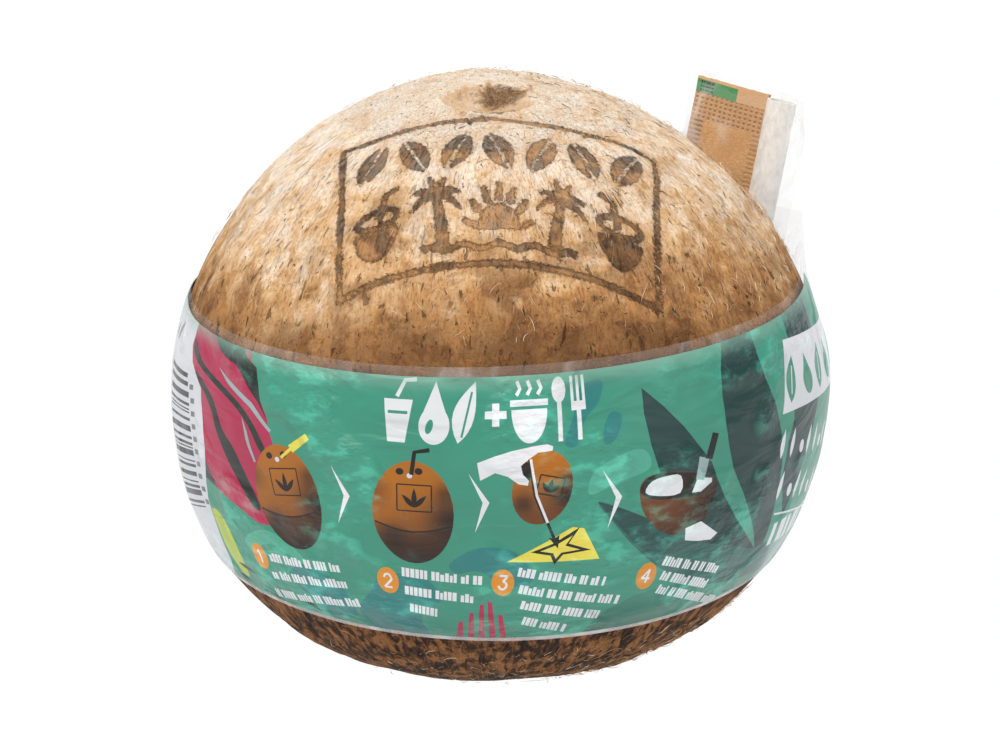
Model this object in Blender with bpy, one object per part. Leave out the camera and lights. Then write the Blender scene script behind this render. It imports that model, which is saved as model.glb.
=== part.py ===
"""Husked coconut in a printed film sleeve, with a small opening kit held under the sleeve.

The origin is the centre of the flat spot the coconut rests on, and +Z runs up through its eyes.
All sizes are in metres.
"""

import bisect
import math

import bmesh
import bpy
from mathutils import Vector
from mathutils.geometry import convex_hull_2d

MM = 0.001

# Shell
SHELL_HALF_WIDTH = 55.7 * MM
SHELL_RISE = 53.1 * MM
WIDEST_HEIGHT = 48.7 * MM
FLAT_SPOT_RADIUS = 14.0 * MM
TOP_FULLNESS = 1.855
BASE_FULLNESS = 2.325
WIDEST_OFFSET = 1.15 * MM
TOP_OFFSET = -0.6 * MM
LOBE_SWELL = 0.3 * MM

# Eyes, one of them towards the front
EYE_COUNT = 3
EYE_RING_RADIUS = 10.5 * MM
EYE_HALF_WIDTH = 6.2 * MM
EYE_HALF_LENGTH = 4.4 * MM
EYE_DEPTH = 2.0 * MM

# Printed film sleeve
FILM_GAP = 0.3 * MM
FILM_WALL = 0.5 * MM
SLEEVE_ABOVE = 18.3 * MM
SLEEVE_RISE_RIGHT = 1.5 * MM
SLEEVE_BELOW = 29.9 * MM
SLEEVE_HEM_RISE = 2.1 * MM
SLEEVE_OVERRUN = 3.0 * MM
SLEEVE_GATHER = 7.0 * MM

# Opening kit, standing behind the right shoulder
KIT_AZIMUTH = math.radians(48.2)
KIT_TILT = math.radians(12.0)
KIT_LEAN = math.radians(3.5)
KIT_RISE = 40.3 * MM
KIT_GAP = 0.3 * MM
KIT_END_GAP = 1.0 * MM
WRAPPER_WALL = 0.35 * MM
WRAPPER_NEAR_MARGIN = 0.7 * MM
WRAPPER_FAR_MARGIN = 3.3 * MM
WRAPPER_HEADROOM = 0.6 * MM
WRAPPER_SLACK = 0.3 * MM
WRAPPER_SEAL = 0.5 * MM

PACKET_WIDTH = 16.6 * MM
PACKET_LENGTH = 56.5 * MM
PACKET_WALL = 0.35 * MM
PACKET_EDGE = 1.1 * MM
PACKET_SHOULDER = 8.0 * MM

STICK_RADIUS = 1.6 * MM
STICK_LENGTH = 34.0 * MM
STICK_POINT = 6.0 * MM

STRAW_RADIUS = 2.7 * MM
STRAW_WALL = 0.4 * MM
STRAW_LENGTH = 56.0 * MM

# Sizes that follow from the ones above
FLAT_SHARE = (FLAT_SPOT_RADIUS / SHELL_HALF_WIDTH) ** BASE_FULLNESS
BASE_CURVE_DROP = WIDEST_HEIGHT / (1.0 - FLAT_SHARE) ** (1.0 / BASE_FULLNESS)
SHELL_TOP = WIDEST_HEIGHT + SHELL_RISE
SLEEVE_TOP = WIDEST_HEIGHT + SLEEVE_ABOVE
SLEEVE_BASE = WIDEST_HEIGHT - SLEEVE_BELOW
KIT_TOP = WIDEST_HEIGHT + KIT_RISE
KIT_LENGTH = KIT_END_GAP + max(PACKET_LENGTH, STRAW_LENGTH) + WRAPPER_HEADROOM + WRAPPER_SEAL
PACKET_DEPTH = 2.0 * (STICK_RADIUS + KIT_GAP + PACKET_WALL)
WRAPPER_MARGINS = WRAPPER_NEAR_MARGIN + WRAPPER_FAR_MARGIN
WRAPPER_WIDTH = PACKET_WIDTH + KIT_GAP + 2.0 * STRAW_RADIUS + WRAPPER_MARGINS
WRAPPER_DEPTH = 2.0 * (max(STRAW_RADIUS, 0.5 * PACKET_DEPTH) + WRAPPER_SLACK + WRAPPER_WALL)
PACKET_FULL_LENGTH = STICK_LENGTH + 2.0 * KIT_END_GAP
PACKET_MIDDLE = -0.5 * WRAPPER_WIDTH + WRAPPER_NEAR_MARGIN + 0.5 * PACKET_WIDTH
STRAW_MIDDLE = PACKET_MIDDLE + 0.5 * PACKET_WIDTH + KIT_GAP + STRAW_RADIUS

SHELL_SEGMENTS = 72
SLEEVE_ROWS = 18
KIT_COLUMNS = 8
SHELL_COLUMNS = 64


def shell_section(azimuth, height):
    """Radius of the shell from its own axis, and that axis's sideways offset, at one height."""
    rise = height - WIDEST_HEIGHT
    if rise >= 0.0:
        share = min(rise / SHELL_RISE, 1.0)
        radius = SHELL_HALF_WIDTH * (1.0 - share ** TOP_FULLNESS) ** (1.0 / TOP_FULLNESS)
        swell = LOBE_SWELL * 4.0 * share * (1.0 - share) * math.cos(3.0 * azimuth)
        offset = WIDEST_OFFSET + (TOP_OFFSET - WIDEST_OFFSET) * share ** 2
        return radius + swell, offset
    share = min(-rise / BASE_CURVE_DROP, 1.0)
    radius = SHELL_HALF_WIDTH * (1.0 - share ** BASE_FULLNESS) ** (1.0 / BASE_FULLNESS)
    offset = WIDEST_OFFSET * (1.0 - (rise / WIDEST_HEIGHT) ** 2)
    return radius, offset


def shell_point(azimuth, height, clearance=0.0):
    """A point of the smooth shell, or one that far outside it."""
    radius, offset = shell_section(azimuth, height)
    reach = radius + clearance
    return Vector((offset + reach * math.cos(azimuth), reach * math.sin(azimuth), height))


def ring_azimuths(count):
    """Evenly spaced azimuths round the axis."""
    return [2.0 * math.pi * i / count for i in range(count)]


# The kit's own directions: across its width, along its length, and away from the shell.
ACROSS_LEVEL = Vector((math.sin(KIT_AZIMUTH), -math.cos(KIT_AZIMUTH), 0.0))
OUTWARD = Vector(
    (
        math.cos(KIT_AZIMUTH) * math.cos(KIT_TILT),
        math.sin(KIT_AZIMUTH) * math.cos(KIT_TILT),
        -math.sin(KIT_TILT),
    )
)
UP_UNLEANT = Vector(
    (
        math.cos(KIT_AZIMUTH) * math.sin(KIT_TILT),
        math.sin(KIT_AZIMUTH) * math.sin(KIT_TILT),
        math.cos(KIT_TILT),
    )
)
ALONG = UP_UNLEANT * math.cos(KIT_LEAN) + ACROSS_LEVEL * math.sin(KIT_LEAN)
ACROSS = ACROSS_LEVEL * math.cos(KIT_LEAN) - UP_UNLEANT * math.sin(KIT_LEAN)


def kit_top_point():
    """Middle of the kit's top edge on the face that lies against the shell."""
    reach = max(
        OUTWARD.dot(shell_point(azimuth, SHELL_TOP * i / 80.0))
        for azimuth in ring_azimuths(120)
        for i in range(80)
    )
    reach += KIT_GAP
    level = (reach + math.sin(KIT_TILT) * KIT_TOP) / math.cos(KIT_TILT)
    level -= WIDEST_OFFSET * math.cos(KIT_AZIMUTH)
    return Vector(
        (
            WIDEST_OFFSET + level * math.cos(KIT_AZIMUTH),
            level * math.sin(KIT_AZIMUTH),
            KIT_TOP,
        )
    )


KIT_TOP_POINT = kit_top_point()


def kit_point(across, along, out):
    """A point of the kit: across its width, along from its lower end, and out from the shell."""
    return KIT_TOP_POINT + ACROSS * across + ALONG * (along - KIT_LENGTH) + OUTWARD * out


KIT_LOWEST = min(
    kit_point(side * 0.5 * WRAPPER_WIDTH, 0.0, out).z
    for side in (-1.0, 1.0)
    for out in (0.0, WRAPPER_DEPTH)
)
TAUT_LOWEST = KIT_LOWEST - SLEEVE_OVERRUN


def kit_corners(height, clearance):
    """Corners of the kit's outline at one height, grown by a clearance, the outer two first."""
    half = 0.5 * WRAPPER_WIDTH + clearance
    corners = []
    for out in (WRAPPER_DEPTH + clearance, 0.0):
        for across in (half, -half):
            start = kit_point(across, 0.0, out)
            spot = start + ALONG * ((height - start.z) / ALONG.z)
            corners.append(Vector((spot.x - WIDEST_OFFSET, spot.y)))
    return corners


def taut_radius(azimuth, height, clearance):
    """Distance of taut film round the shell and the kit, from the widest ring's axis."""
    spots = kit_corners(height, clearance)
    for turn in ring_azimuths(96):
        spot = shell_point(turn, height, clearance)
        spots.append(Vector((spot.x - WIDEST_OFFSET, spot.y)))
    corners = [spots[i] for i in convex_hull_2d(spots)]
    corners.sort(key=lambda corner: math.atan2(corner.y, corner.x) % (2.0 * math.pi))
    angles = [math.atan2(corner.y, corner.x) % (2.0 * math.pi) for corner in corners]
    after = bisect.bisect_right(angles, azimuth % (2.0 * math.pi)) % len(corners)
    first, second = corners[after - 1], corners[after]
    ray = Vector((math.cos(azimuth), math.sin(azimuth)))
    return first.cross(second - first) / ray.cross(second - first)


def shell_reach(azimuth, height, clearance):
    """Distance of the shell, or of a surface that far outside it, from the widest ring's axis."""
    spot = shell_point(azimuth, height, clearance)
    return math.hypot(spot.x - WIDEST_OFFSET, spot.y)


def film_point(azimuth, height, clearance):
    """A point of the film: taut over the kit, and gathered back onto the shell below it."""
    if height >= TAUT_LOWEST:
        reach = taut_radius(azimuth, height, clearance)
    else:
        proud = taut_radius(azimuth, TAUT_LOWEST, clearance) - shell_reach(azimuth, TAUT_LOWEST, clearance)
        share = smooth_step(1.0 - (TAUT_LOWEST - height) / SLEEVE_GATHER)
        reach = shell_reach(azimuth, height, clearance) + share * max(proud, 0.0)
    return Vector((WIDEST_OFFSET + reach * math.cos(azimuth), reach * math.sin(azimuth), height))


def smooth_step(value):
    """0 below 0, 1 above 1, and smooth between."""
    share = min(max(value, 0.0), 1.0)
    return share * share * (3.0 - 2.0 * share)


def new_material(name, color, roughness, alpha=1.0):
    """A plain finish of one colour."""
    material = bpy.data.materials.new(name)
    material.use_nodes = True
    shader = material.node_tree.nodes["Principled BSDF"]
    shader.inputs["Base Color"].default_value = (*color, 1.0)
    shader.inputs["Roughness"].default_value = roughness
    shader.inputs["Alpha"].default_value = alpha
    return material


def new_object(name, collection, material, mesh):
    """Wraps a finished mesh as one node of the object."""
    data = bpy.data.meshes.new(name)
    bmesh.ops.recalc_face_normals(mesh, faces=mesh.faces)
    mesh.to_mesh(data)
    mesh.free()
    data.materials.append(material)
    node = bpy.data.objects.new(name, data)
    collection.objects.link(node)
    return node


def add_loop(mesh, points):
    """Vertices of one closed loop."""
    return [mesh.verts.new(point) for point in points]


def bridge(mesh, first, second):
    """Quads between two loops of equal length."""
    count = len(first)
    for i in range(count):
        j = (i + 1) % count
        mesh.faces.new((first[i], first[j], second[j], second[i]))


def fan(mesh, loop, tip):
    """Triangles from a loop to one point."""
    point = mesh.verts.new(tip)
    count = len(loop)
    for i in range(count):
        mesh.faces.new((loop[i], loop[(i + 1) % count], point))


def eye_hollow(point):
    """How far the surface sinks into the eyes at a point near the pole."""
    sink = 0.0
    for i in range(EYE_COUNT):
        azimuth = -0.5 * math.pi + 2.0 * math.pi * i / EYE_COUNT
        away = Vector((point.x - TOP_OFFSET, point.y))
        outward = Vector((math.cos(azimuth), math.sin(azimuth)))
        length = (away.dot(outward) - EYE_RING_RADIUS) / EYE_HALF_LENGTH
        width = away.cross(outward) / EYE_HALF_WIDTH
        sink += EYE_DEPTH * math.exp(-(length ** 2 + width ** 2))
    return sink


def coconut_heights():
    """Heights of the shell's rings, closer together near the pole."""
    lower = [-math.asin(WIDEST_HEIGHT / BASE_CURVE_DROP) * (1.0 - i / 13.0) for i in range(13)]
    upper = [math.radians(5.0 * i) for i in range(13)]
    crown = [math.radians(62.5 + 2.5 * i) for i in range(11)]
    heights = [WIDEST_HEIGHT + BASE_CURVE_DROP * math.sin(angle) for angle in lower]
    heights += [WIDEST_HEIGHT + SHELL_RISE * math.sin(angle) for angle in upper + crown]
    heights[0] = 0.0
    return heights


def build_coconut(collection):
    """The husked coconut, one solid, with a flat spot below and three eyes above."""
    mesh = bmesh.new()
    loops = []
    for height in coconut_heights():
        points = []
        for azimuth in ring_azimuths(SHELL_SEGMENTS):
            point = shell_point(azimuth, height)
            if height > WIDEST_HEIGHT:
                point.z -= eye_hollow(point)
            points.append(point)
        loops.append(add_loop(mesh, points))
    for first, second in zip(loops, loops[1:]):
        bridge(mesh, first, second)
    fan(mesh, loops[0], Vector((0.0, 0.0, 0.0)))
    pole = Vector((TOP_OFFSET, 0.0, SHELL_TOP))
    fan(mesh, loops[-1], pole - Vector((0.0, 0.0, eye_hollow(pole))))
    material = new_material("husked_shell", (0.56, 0.40, 0.26), 0.85)
    return new_object("coconut", collection, material, mesh)


def sleeve_azimuths(height):
    """Azimuths of the sleeve's columns, two of them on the kit's outer corners."""
    right, left = (
        math.atan2(corner.y, corner.x)
        for corner in kit_corners(max(height, TAUT_LOWEST), FILM_GAP)[:2]
    )
    over = [right + (left - right) * i / KIT_COLUMNS for i in range(KIT_COLUMNS)]
    rest = right + 2.0 * math.pi - left
    return over + [left + rest * i / SHELL_COLUMNS for i in range(SHELL_COLUMNS)]


def build_sleeve(collection):
    """The film band round the widest part, taut over the kit, open above and below."""
    mesh = bmesh.new()
    skins = []
    for clearance in (FILM_GAP, FILM_GAP + FILM_WALL):
        loops = []
        for row in range(SLEEVE_ROWS + 1):
            share = row / SLEEVE_ROWS
            points = []
            for azimuth in sleeve_azimuths(SLEEVE_BASE + share * (SLEEVE_TOP - SLEEVE_BASE)):
                low = SLEEVE_BASE + SLEEVE_HEM_RISE * math.cos(azimuth) ** 2
                high = SLEEVE_TOP + SLEEVE_RISE_RIGHT * math.cos(azimuth)
                points.append(film_point(azimuth, low + share * (high - low), clearance))
            loops.append(add_loop(mesh, points))
        for first, second in zip(loops, loops[1:]):
            bridge(mesh, first, second)
        skins.append(loops)
    bridge(mesh, skins[0][0], skins[1][0])
    bridge(mesh, skins[0][-1], skins[1][-1])
    material = new_material("printed_film", (0.08, 0.34, 0.28), 0.3)
    return new_object("printed_sleeve", collection, material, mesh)


def flat_loop(half_width, depth_at, middle, along, count=12):
    """One cross-section of a flat pouch: its face away from the shell, then the one against it."""
    points = []
    for face in (1.0, -1.0):
        for i in range(count):
            share = -math.cos(math.pi * (i + 0.5) / count) * face
            across = half_width * share
            out = 0.5 * WRAPPER_DEPTH + face * depth_at(across)
            points.append(kit_point(middle + across, along, out))
    return points


def build_pouch(name, collection, material, outer, inner):
    """A flat pouch closed at the top and open at its lower end, from two stacks of sections."""
    mesh = bmesh.new()
    outer_loops = [add_loop(mesh, points) for points in outer]
    inner_loops = [add_loop(mesh, points) for points in inner]
    for loops in (outer_loops, inner_loops):
        for first, second in zip(loops, loops[1:]):
            bridge(mesh, first, second)
        mesh.faces.new(loops[-1])
    bridge(mesh, outer_loops[0], inner_loops[0])
    return new_object(name, collection, material, mesh)


def build_wrapper(collection):
    """The clear film bag round the packet and the straw."""
    half_width = 0.5 * WRAPPER_WIDTH
    half_depth = 0.5 * WRAPPER_DEPTH
    shares = (0.0, 0.25, 0.5, 0.75, 1.0)

    def section(along, squeeze, shrink):
        width = half_width - shrink
        depth = (half_depth - shrink) * squeeze

        def depth_at(across):
            return depth * (1.0 - min(abs(across / width), 0.999) ** 4) ** 0.25

        return flat_loop(width, depth_at, 0.0, along)

    body = KIT_LENGTH - WRAPPER_SEAL
    outer = [section(share * body, 1.0, 0.0) for share in shares]
    outer.append(section(KIT_LENGTH, 0.18, 0.0))
    room = body - 2.0 * KIT_GAP
    inner = [section(share * room, 1.0, WRAPPER_WALL) for share in shares]
    inner.append(section(room + KIT_GAP, 0.8, WRAPPER_WALL))
    material = new_material("clear_film", (0.9, 0.9, 0.9), 0.1, 0.3)
    return build_pouch("kit_wrapper", collection, material, outer, inner)


def build_packet(collection):
    """The paper packet: full round the stick, and crimped flat at its top."""
    start = KIT_END_GAP
    half_width = 0.5 * PACKET_WIDTH
    edge = 0.5 * PACKET_EDGE

    def section(along, shrink):
        width = half_width - shrink
        flat = smooth_step((along - start - PACKET_FULL_LENGTH) / PACKET_SHOULDER)
        full = (0.5 * PACKET_DEPTH - edge) * (1.0 - flat)

        def depth_at(across):
            swell = full * math.cos(0.5 * math.pi * min(abs(across / half_width), 1.0)) ** 1.5
            return edge + swell - 0.7 * shrink

        return flat_loop(width, depth_at, PACKET_MIDDLE, along)

    steps = [PACKET_FULL_LENGTH * i / 3.0 for i in range(4)]
    steps += [PACKET_FULL_LENGTH + PACKET_SHOULDER * i / 4.0 for i in range(1, 5)]
    outer = [section(start + step, 0.0) for step in steps + [PACKET_LENGTH]]
    inner = [section(start + step, PACKET_WALL) for step in steps[:-1]]
    material = new_material("kraft_paper", (0.62, 0.36, 0.14), 0.8)
    return build_pouch("kraft_packet", collection, material, outer, inner)


def rod_loop(radius, middle, along, count=20):
    """One round cross-section of a rod lying along the kit."""
    points = []
    for azimuth in ring_azimuths(count):
        across = middle + radius * math.cos(azimuth)
        points.append(kit_point(across, along, 0.5 * WRAPPER_DEPTH + radius * math.sin(azimuth)))
    return points


def build_stick(collection):
    """The wooden piercing stick inside the packet, its point downwards."""
    start = 2.0 * KIT_END_GAP
    mesh = bmesh.new()
    collar = add_loop(mesh, rod_loop(STICK_RADIUS, PACKET_MIDDLE, start + STICK_POINT))
    head = add_loop(mesh, rod_loop(STICK_RADIUS, PACKET_MIDDLE, start + STICK_LENGTH))
    bridge(mesh, collar, head)
    fan(mesh, collar, kit_point(PACKET_MIDDLE, start, 0.5 * WRAPPER_DEPTH))
    mesh.faces.new(head)
    material = new_material("bare_wood", (0.68, 0.48, 0.28), 0.7)
    return new_object("piercing_stick", collection, material, mesh)


def build_straw(collection):
    """The paper straw beside the packet, open at both ends."""
    start = KIT_END_GAP
    mesh = bmesh.new()
    ends = (start, start + STRAW_LENGTH)
    outer = [add_loop(mesh, rod_loop(STRAW_RADIUS, STRAW_MIDDLE, end)) for end in ends]
    inner = [add_loop(mesh, rod_loop(STRAW_RADIUS - STRAW_WALL, STRAW_MIDDLE, end)) for end in ends]
    bridge(mesh, outer[0], outer[1])
    bridge(mesh, inner[0], inner[1])
    bridge(mesh, outer[0], inner[0])
    bridge(mesh, outer[1], inner[1])
    material = new_material("white_paper", (0.85, 0.84, 0.81), 0.7)
    return new_object("drinking_straw", collection, material, mesh)


def main():
    """Clears the scene and builds every piece."""
    for item in list(bpy.data.objects):
        bpy.data.objects.remove(item, do_unlink=True)
    collection = bpy.data.collections.new("coconut_with_sleeve_and_kit")
    bpy.context.scene.collection.children.link(collection)
    build_coconut(collection)
    build_sleeve(collection)
    build_wrapper(collection)
    build_packet(collection)
    build_stick(collection)
    build_straw(collection)


main()
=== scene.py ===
"""Looks of a husked coconut in a printed film sleeve, with an opening kit held under the sleeve.

Meshes are in metres. The sleeve's artwork and the burnt mark are laid out in millimetres and then
wrapped on their surfaces. The front of the coconut faces -Y, and it stands on the floor at z = 0.
"""

from __future__ import annotations

import logging
import math
import random
from dataclasses import dataclass, field
from enum import Enum

import bmesh
import bpy
import numpy as np
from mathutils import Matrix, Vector, noise
from mathutils.geometry import convex_hull_2d, delaunay_2d_cdt


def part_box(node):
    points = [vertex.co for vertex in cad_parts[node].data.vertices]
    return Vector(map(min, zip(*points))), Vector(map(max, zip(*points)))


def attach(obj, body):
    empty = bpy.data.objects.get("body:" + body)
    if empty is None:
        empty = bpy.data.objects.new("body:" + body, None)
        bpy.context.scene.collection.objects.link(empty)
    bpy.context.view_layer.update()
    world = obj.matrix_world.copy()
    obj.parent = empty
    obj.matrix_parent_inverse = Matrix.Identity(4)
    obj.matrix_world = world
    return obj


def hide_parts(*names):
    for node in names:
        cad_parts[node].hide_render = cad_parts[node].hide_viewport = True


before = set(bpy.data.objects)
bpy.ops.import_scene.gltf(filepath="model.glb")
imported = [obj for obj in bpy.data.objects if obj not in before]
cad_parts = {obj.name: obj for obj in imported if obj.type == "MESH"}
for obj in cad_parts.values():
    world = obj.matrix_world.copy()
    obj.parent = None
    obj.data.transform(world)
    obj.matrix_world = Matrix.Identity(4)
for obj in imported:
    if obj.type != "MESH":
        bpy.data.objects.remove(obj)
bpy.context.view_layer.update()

MM = 0.001
LOG = logging.getLogger("coconut")

Color = tuple[float, float, float]
Spot = tuple[float, float]
Outline = list[Spot]
Array = np.ndarray
Socket = bpy.types.NodeSocket


# ---------------------------------------------------------------- small tools


def linear(color: Color) -> tuple[float, float, float, float]:
    """Turns a 0-255 display colour into the linear colour that shaders use."""
    shares = [value / 255.0 for value in color]
    return (*((s / 12.92 if s <= 0.04045 else ((s + 0.055) / 1.055) ** 2.4) for s in shares), 1.0)


def smooth(value: Array, low: float, high: float) -> Array:
    """0 up to low, 1 from high on, and a smooth step between; low may be above high."""
    share = np.clip((value - low) / (high - low), 0.0, 1.0)
    return share * share * (3.0 - 2.0 * share)


def ring(count: int) -> Array:
    """Evenly spaced azimuths round an axis."""
    return np.arange(count) * (2.0 * math.pi / count)


def wobble(points: Array, scale: float, octaves: int = 1, seed: float = 0.0) -> Array:
    """Smooth noise from about -1 to 1 at each point.

    Args:
        points: Places, one row each.
        scale: Waves per unit of length.
        octaves: How many finer layers are summed.
        seed: Moves the pattern.

    Returns:
        One value for each point.
    """
    rows = points * scale + seed
    if octaves == 1:
        return np.array([noise.noise(row) for row in rows.tolist()])
    return np.array([noise.fractal(row, 1.0, 2.0, octaves) for row in rows.tolist()])


def deselect() -> None:
    """Leaves nothing selected, so that an operator acts only on what comes next."""
    if bpy.context.object and bpy.context.object.mode != "OBJECT":
        bpy.ops.object.mode_set(mode="OBJECT")
    bpy.ops.object.select_all(action="DESELECT")


def make_active(piece: bpy.types.Object) -> None:
    """Selects one piece alone and makes it the active one."""
    deselect()
    piece.select_set(True)
    bpy.context.view_layer.objects.active = piece


def apply_modifier(piece: bpy.types.Object, kind: str, **settings: object) -> None:
    """Adds one modifier to a piece and applies it.

    Args:
        piece: The piece to finish.
        kind: Blender's name for the modifier type.
        settings: The modifier's own settings.
    """
    make_active(piece)
    modifier = piece.modifiers.new(kind.title(), kind)
    for key, value in settings.items():
        setattr(modifier, key, value)
    bpy.ops.object.modifier_apply(modifier=modifier.name)


def mesh_piece(name: str, verts: Array, faces: list) -> bpy.types.Object:
    """Wraps points and faces as a new piece.

    Args:
        name: The piece's name.
        verts: Points in metres, one row each.
        faces: Vertex numbers of each face.

    Returns:
        The new object, linked to the scene.
    """
    data = bpy.data.meshes.new(name)
    data.from_pydata(np.asarray(verts).reshape(-1, 3).tolist(), [], faces)
    data.update()
    piece = bpy.data.objects.new(name, data)
    bpy.context.scene.collection.objects.link(piece)
    return piece


def turn_outward(piece: bpy.types.Object) -> None:
    """Turns the faces of a closed piece outwards."""
    mesh = bmesh.new()
    mesh.from_mesh(piece.data)
    bmesh.ops.recalc_face_normals(mesh, faces=mesh.faces)
    mesh.to_mesh(piece.data)
    mesh.free()


def smooth_by_angle(piece: bpy.types.Object, degrees: float) -> None:
    """Shades a piece smooth, apart from edges that are sharper than the angle."""
    make_active(piece)
    bpy.ops.object.shade_smooth_by_angle(angle=math.radians(degrees))


def finish_piece(piece: bpy.types.Object, slot: str, *nodes: str) -> bpy.types.Object:
    """Rides a finished piece on the object's one body, hides the CAD nodes it replaces and logs its triangle
    count.

    Args:
        piece: The finished piece.
        slot: A material slot name; not used.
        nodes: The CAD nodes that the piece replaces, if any.

    Returns:
        The same piece.
    """
    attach(piece, "root")
    if nodes:
        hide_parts(*nodes)
    triangles = sum(len(face.vertices) - 2 for face in piece.data.polygons)
    LOG.info("%s: %d triangles", piece.name, triangles)
    return piece


def get_points(piece: bpy.types.Object) -> Array:
    """The piece's vertices, one row each."""
    points = np.empty(len(piece.data.vertices) * 3)
    piece.data.vertices.foreach_get("co", points)
    return points.reshape(-1, 3)


def set_points(piece: bpy.types.Object, points: Array) -> None:
    """Moves the piece's vertices."""
    piece.data.vertices.foreach_set("co", points.reshape(-1))
    piece.data.update()


def set_attribute(piece: bpy.types.Object, name: str, values: Array) -> None:
    """Stores one number or one vector for each vertex."""
    kind, key = ("FLOAT", "value") if values.ndim == 1 else ("FLOAT_VECTOR", "vector")
    layer = piece.data.attributes.new(name, kind, "POINT")
    layer.data.foreach_set(key, values.reshape(-1).astype(np.float32))


# ---------------------------------------------------------------- the surfaces everything lies on


@dataclass(frozen=True)
class Shell:
    """The coconut's smooth form, in metres."""

    half_width: float
    axis: float
    top: float
    widest: float = 48.7 * MM
    flat_radius: float = 14.0 * MM
    top_fullness: float = 1.855
    base_fullness: float = 2.325
    top_axis: float = -0.6 * MM
    lobe_swell: float = 0.3 * MM

    @property
    def drop(self) -> float:
        """How far below the widest ring the lower curve would end without its flat spot."""
        flat = (self.flat_radius / self.half_width) ** self.base_fullness
        return self.widest / (1.0 - flat) ** (1.0 / self.base_fullness)

    def section(self, azimuth: Array, height: Array) -> tuple[Array, Array]:
        """Radius and sideways place of the ring at each height."""
        climb = height - self.widest
        up = np.clip(climb / (self.top - self.widest), 0.0, 1.0)
        down = np.clip(-climb / self.drop, 0.0, 1.0)
        over = self.half_width * (1.0 - up ** self.top_fullness) ** (1.0 / self.top_fullness)
        over = over + self.lobe_swell * 4.0 * up * (1.0 - up) * np.cos(3.0 * azimuth)
        under = self.half_width * (1.0 - down ** self.base_fullness) ** (1.0 / self.base_fullness)
        axis_over = self.axis + (self.top_axis - self.axis) * up ** 2
        axis_under = self.axis * (1.0 - (climb / self.widest) ** 2)
        upper = climb >= 0.0
        return np.where(upper, over, under), np.where(upper, axis_over, axis_under)

    def points(self, azimuth: Array, height: Array, clearance: float = 0.0) -> Array:
        """Places on the form, or that far outside it, one row each."""
        radius, axis = self.section(azimuth, height)
        reach = radius + clearance
        return np.stack((axis + reach * np.cos(azimuth), reach * np.sin(azimuth), height), -1)

    def profile(self, steps: int = 4000) -> tuple[Array, Array, Array]:
        """The outline from the middle of the flat spot to the pole.

        Returns:
            Length along the outline, radius and height, one entry for each step.
        """
        turn = np.linspace(-math.asin(self.widest / self.drop), 0.5 * math.pi, steps)
        reach = np.where(turn < 0.0, self.drop, self.top - self.widest)
        height = np.concatenate(([0.0], self.widest + reach * np.sin(turn)))
        height[:2] = 0.0
        radius = self.section(np.full(steps + 1, 0.5 * math.pi / 3.0), height)[0]
        radius[0] = 0.0
        length = np.concatenate(([0.0], np.cumsum(np.hypot(np.diff(radius), np.diff(height)))))
        return length, radius, height


@dataclass(frozen=True)
class KitSeat:
    """Where the opening kit stands behind the right shoulder, in metres."""

    shell: Shell
    azimuth: float = math.radians(48.2)
    tilt: float = math.radians(12.0)
    lean: float = math.radians(3.5)
    rise: float = 40.3 * MM
    gap: float = 0.3 * MM
    end_gap: float = 1.0 * MM
    near_margin: float = 0.7 * MM
    far_margin: float = 3.3 * MM
    headroom: float = 0.6 * MM
    seal: float = 0.5 * MM
    packet_width: float = 16.6 * MM
    packet_length: float = 56.5 * MM
    straw_radius: float = 2.7 * MM
    depth: float = 6.7 * MM

    @property
    def width(self) -> float:
        """Width of the clear wrapper."""
        straw = self.gap + 2.0 * self.straw_radius
        return self.packet_width + straw + self.near_margin + self.far_margin

    @property
    def length(self) -> float:
        """Length of the clear wrapper."""
        return self.end_gap + self.packet_length + self.headroom + self.seal

    @property
    def packet_middle(self) -> float:
        return -0.5 * self.width + self.near_margin + 0.5 * self.packet_width

    @property
    def straw_middle(self) -> float:
        return self.packet_middle + 0.5 * self.packet_width + self.gap + self.straw_radius

    def axes(self) -> tuple[Array, Array, Array]:
        c, s = math.cos(self.azimuth), math.sin(self.azimuth)
        level = np.array((s, -c, 0.0))
        out = np.array((c * math.cos(self.tilt), s * math.cos(self.tilt), -math.sin(self.tilt)))
        up = np.array((c * math.sin(self.tilt), s * math.sin(self.tilt), math.cos(self.tilt)))
        along = up * math.cos(self.lean) + level * math.sin(self.lean)
        across = level * math.cos(self.lean) - up * math.sin(self.lean)
        return across, along, out

    def top_point(self) -> Array:
        out = self.axes()[2]
        turns, heights = np.meshgrid(ring(120), self.shell.top * np.arange(80) / 80.0)
        reach = float((self.shell.points(turns, heights) @ out).max()) + self.gap
        height = self.shell.widest + self.rise
        level = (reach + math.sin(self.tilt) * height) / math.cos(self.tilt)
        level -= self.shell.axis * math.cos(self.azimuth)
        x = self.shell.axis + level * math.cos(self.azimuth)
        return np.array((x, level * math.sin(self.azimuth), height))

    def place(self, across: Array, along: Array, out: Array) -> Array:
        axes = self.axes()
        parts = (np.asarray(across), np.asarray(along) - self.length, np.asarray(out))
        return self.top_point() + sum(part[..., None] * axis for part, axis in zip(parts, axes))


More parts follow.
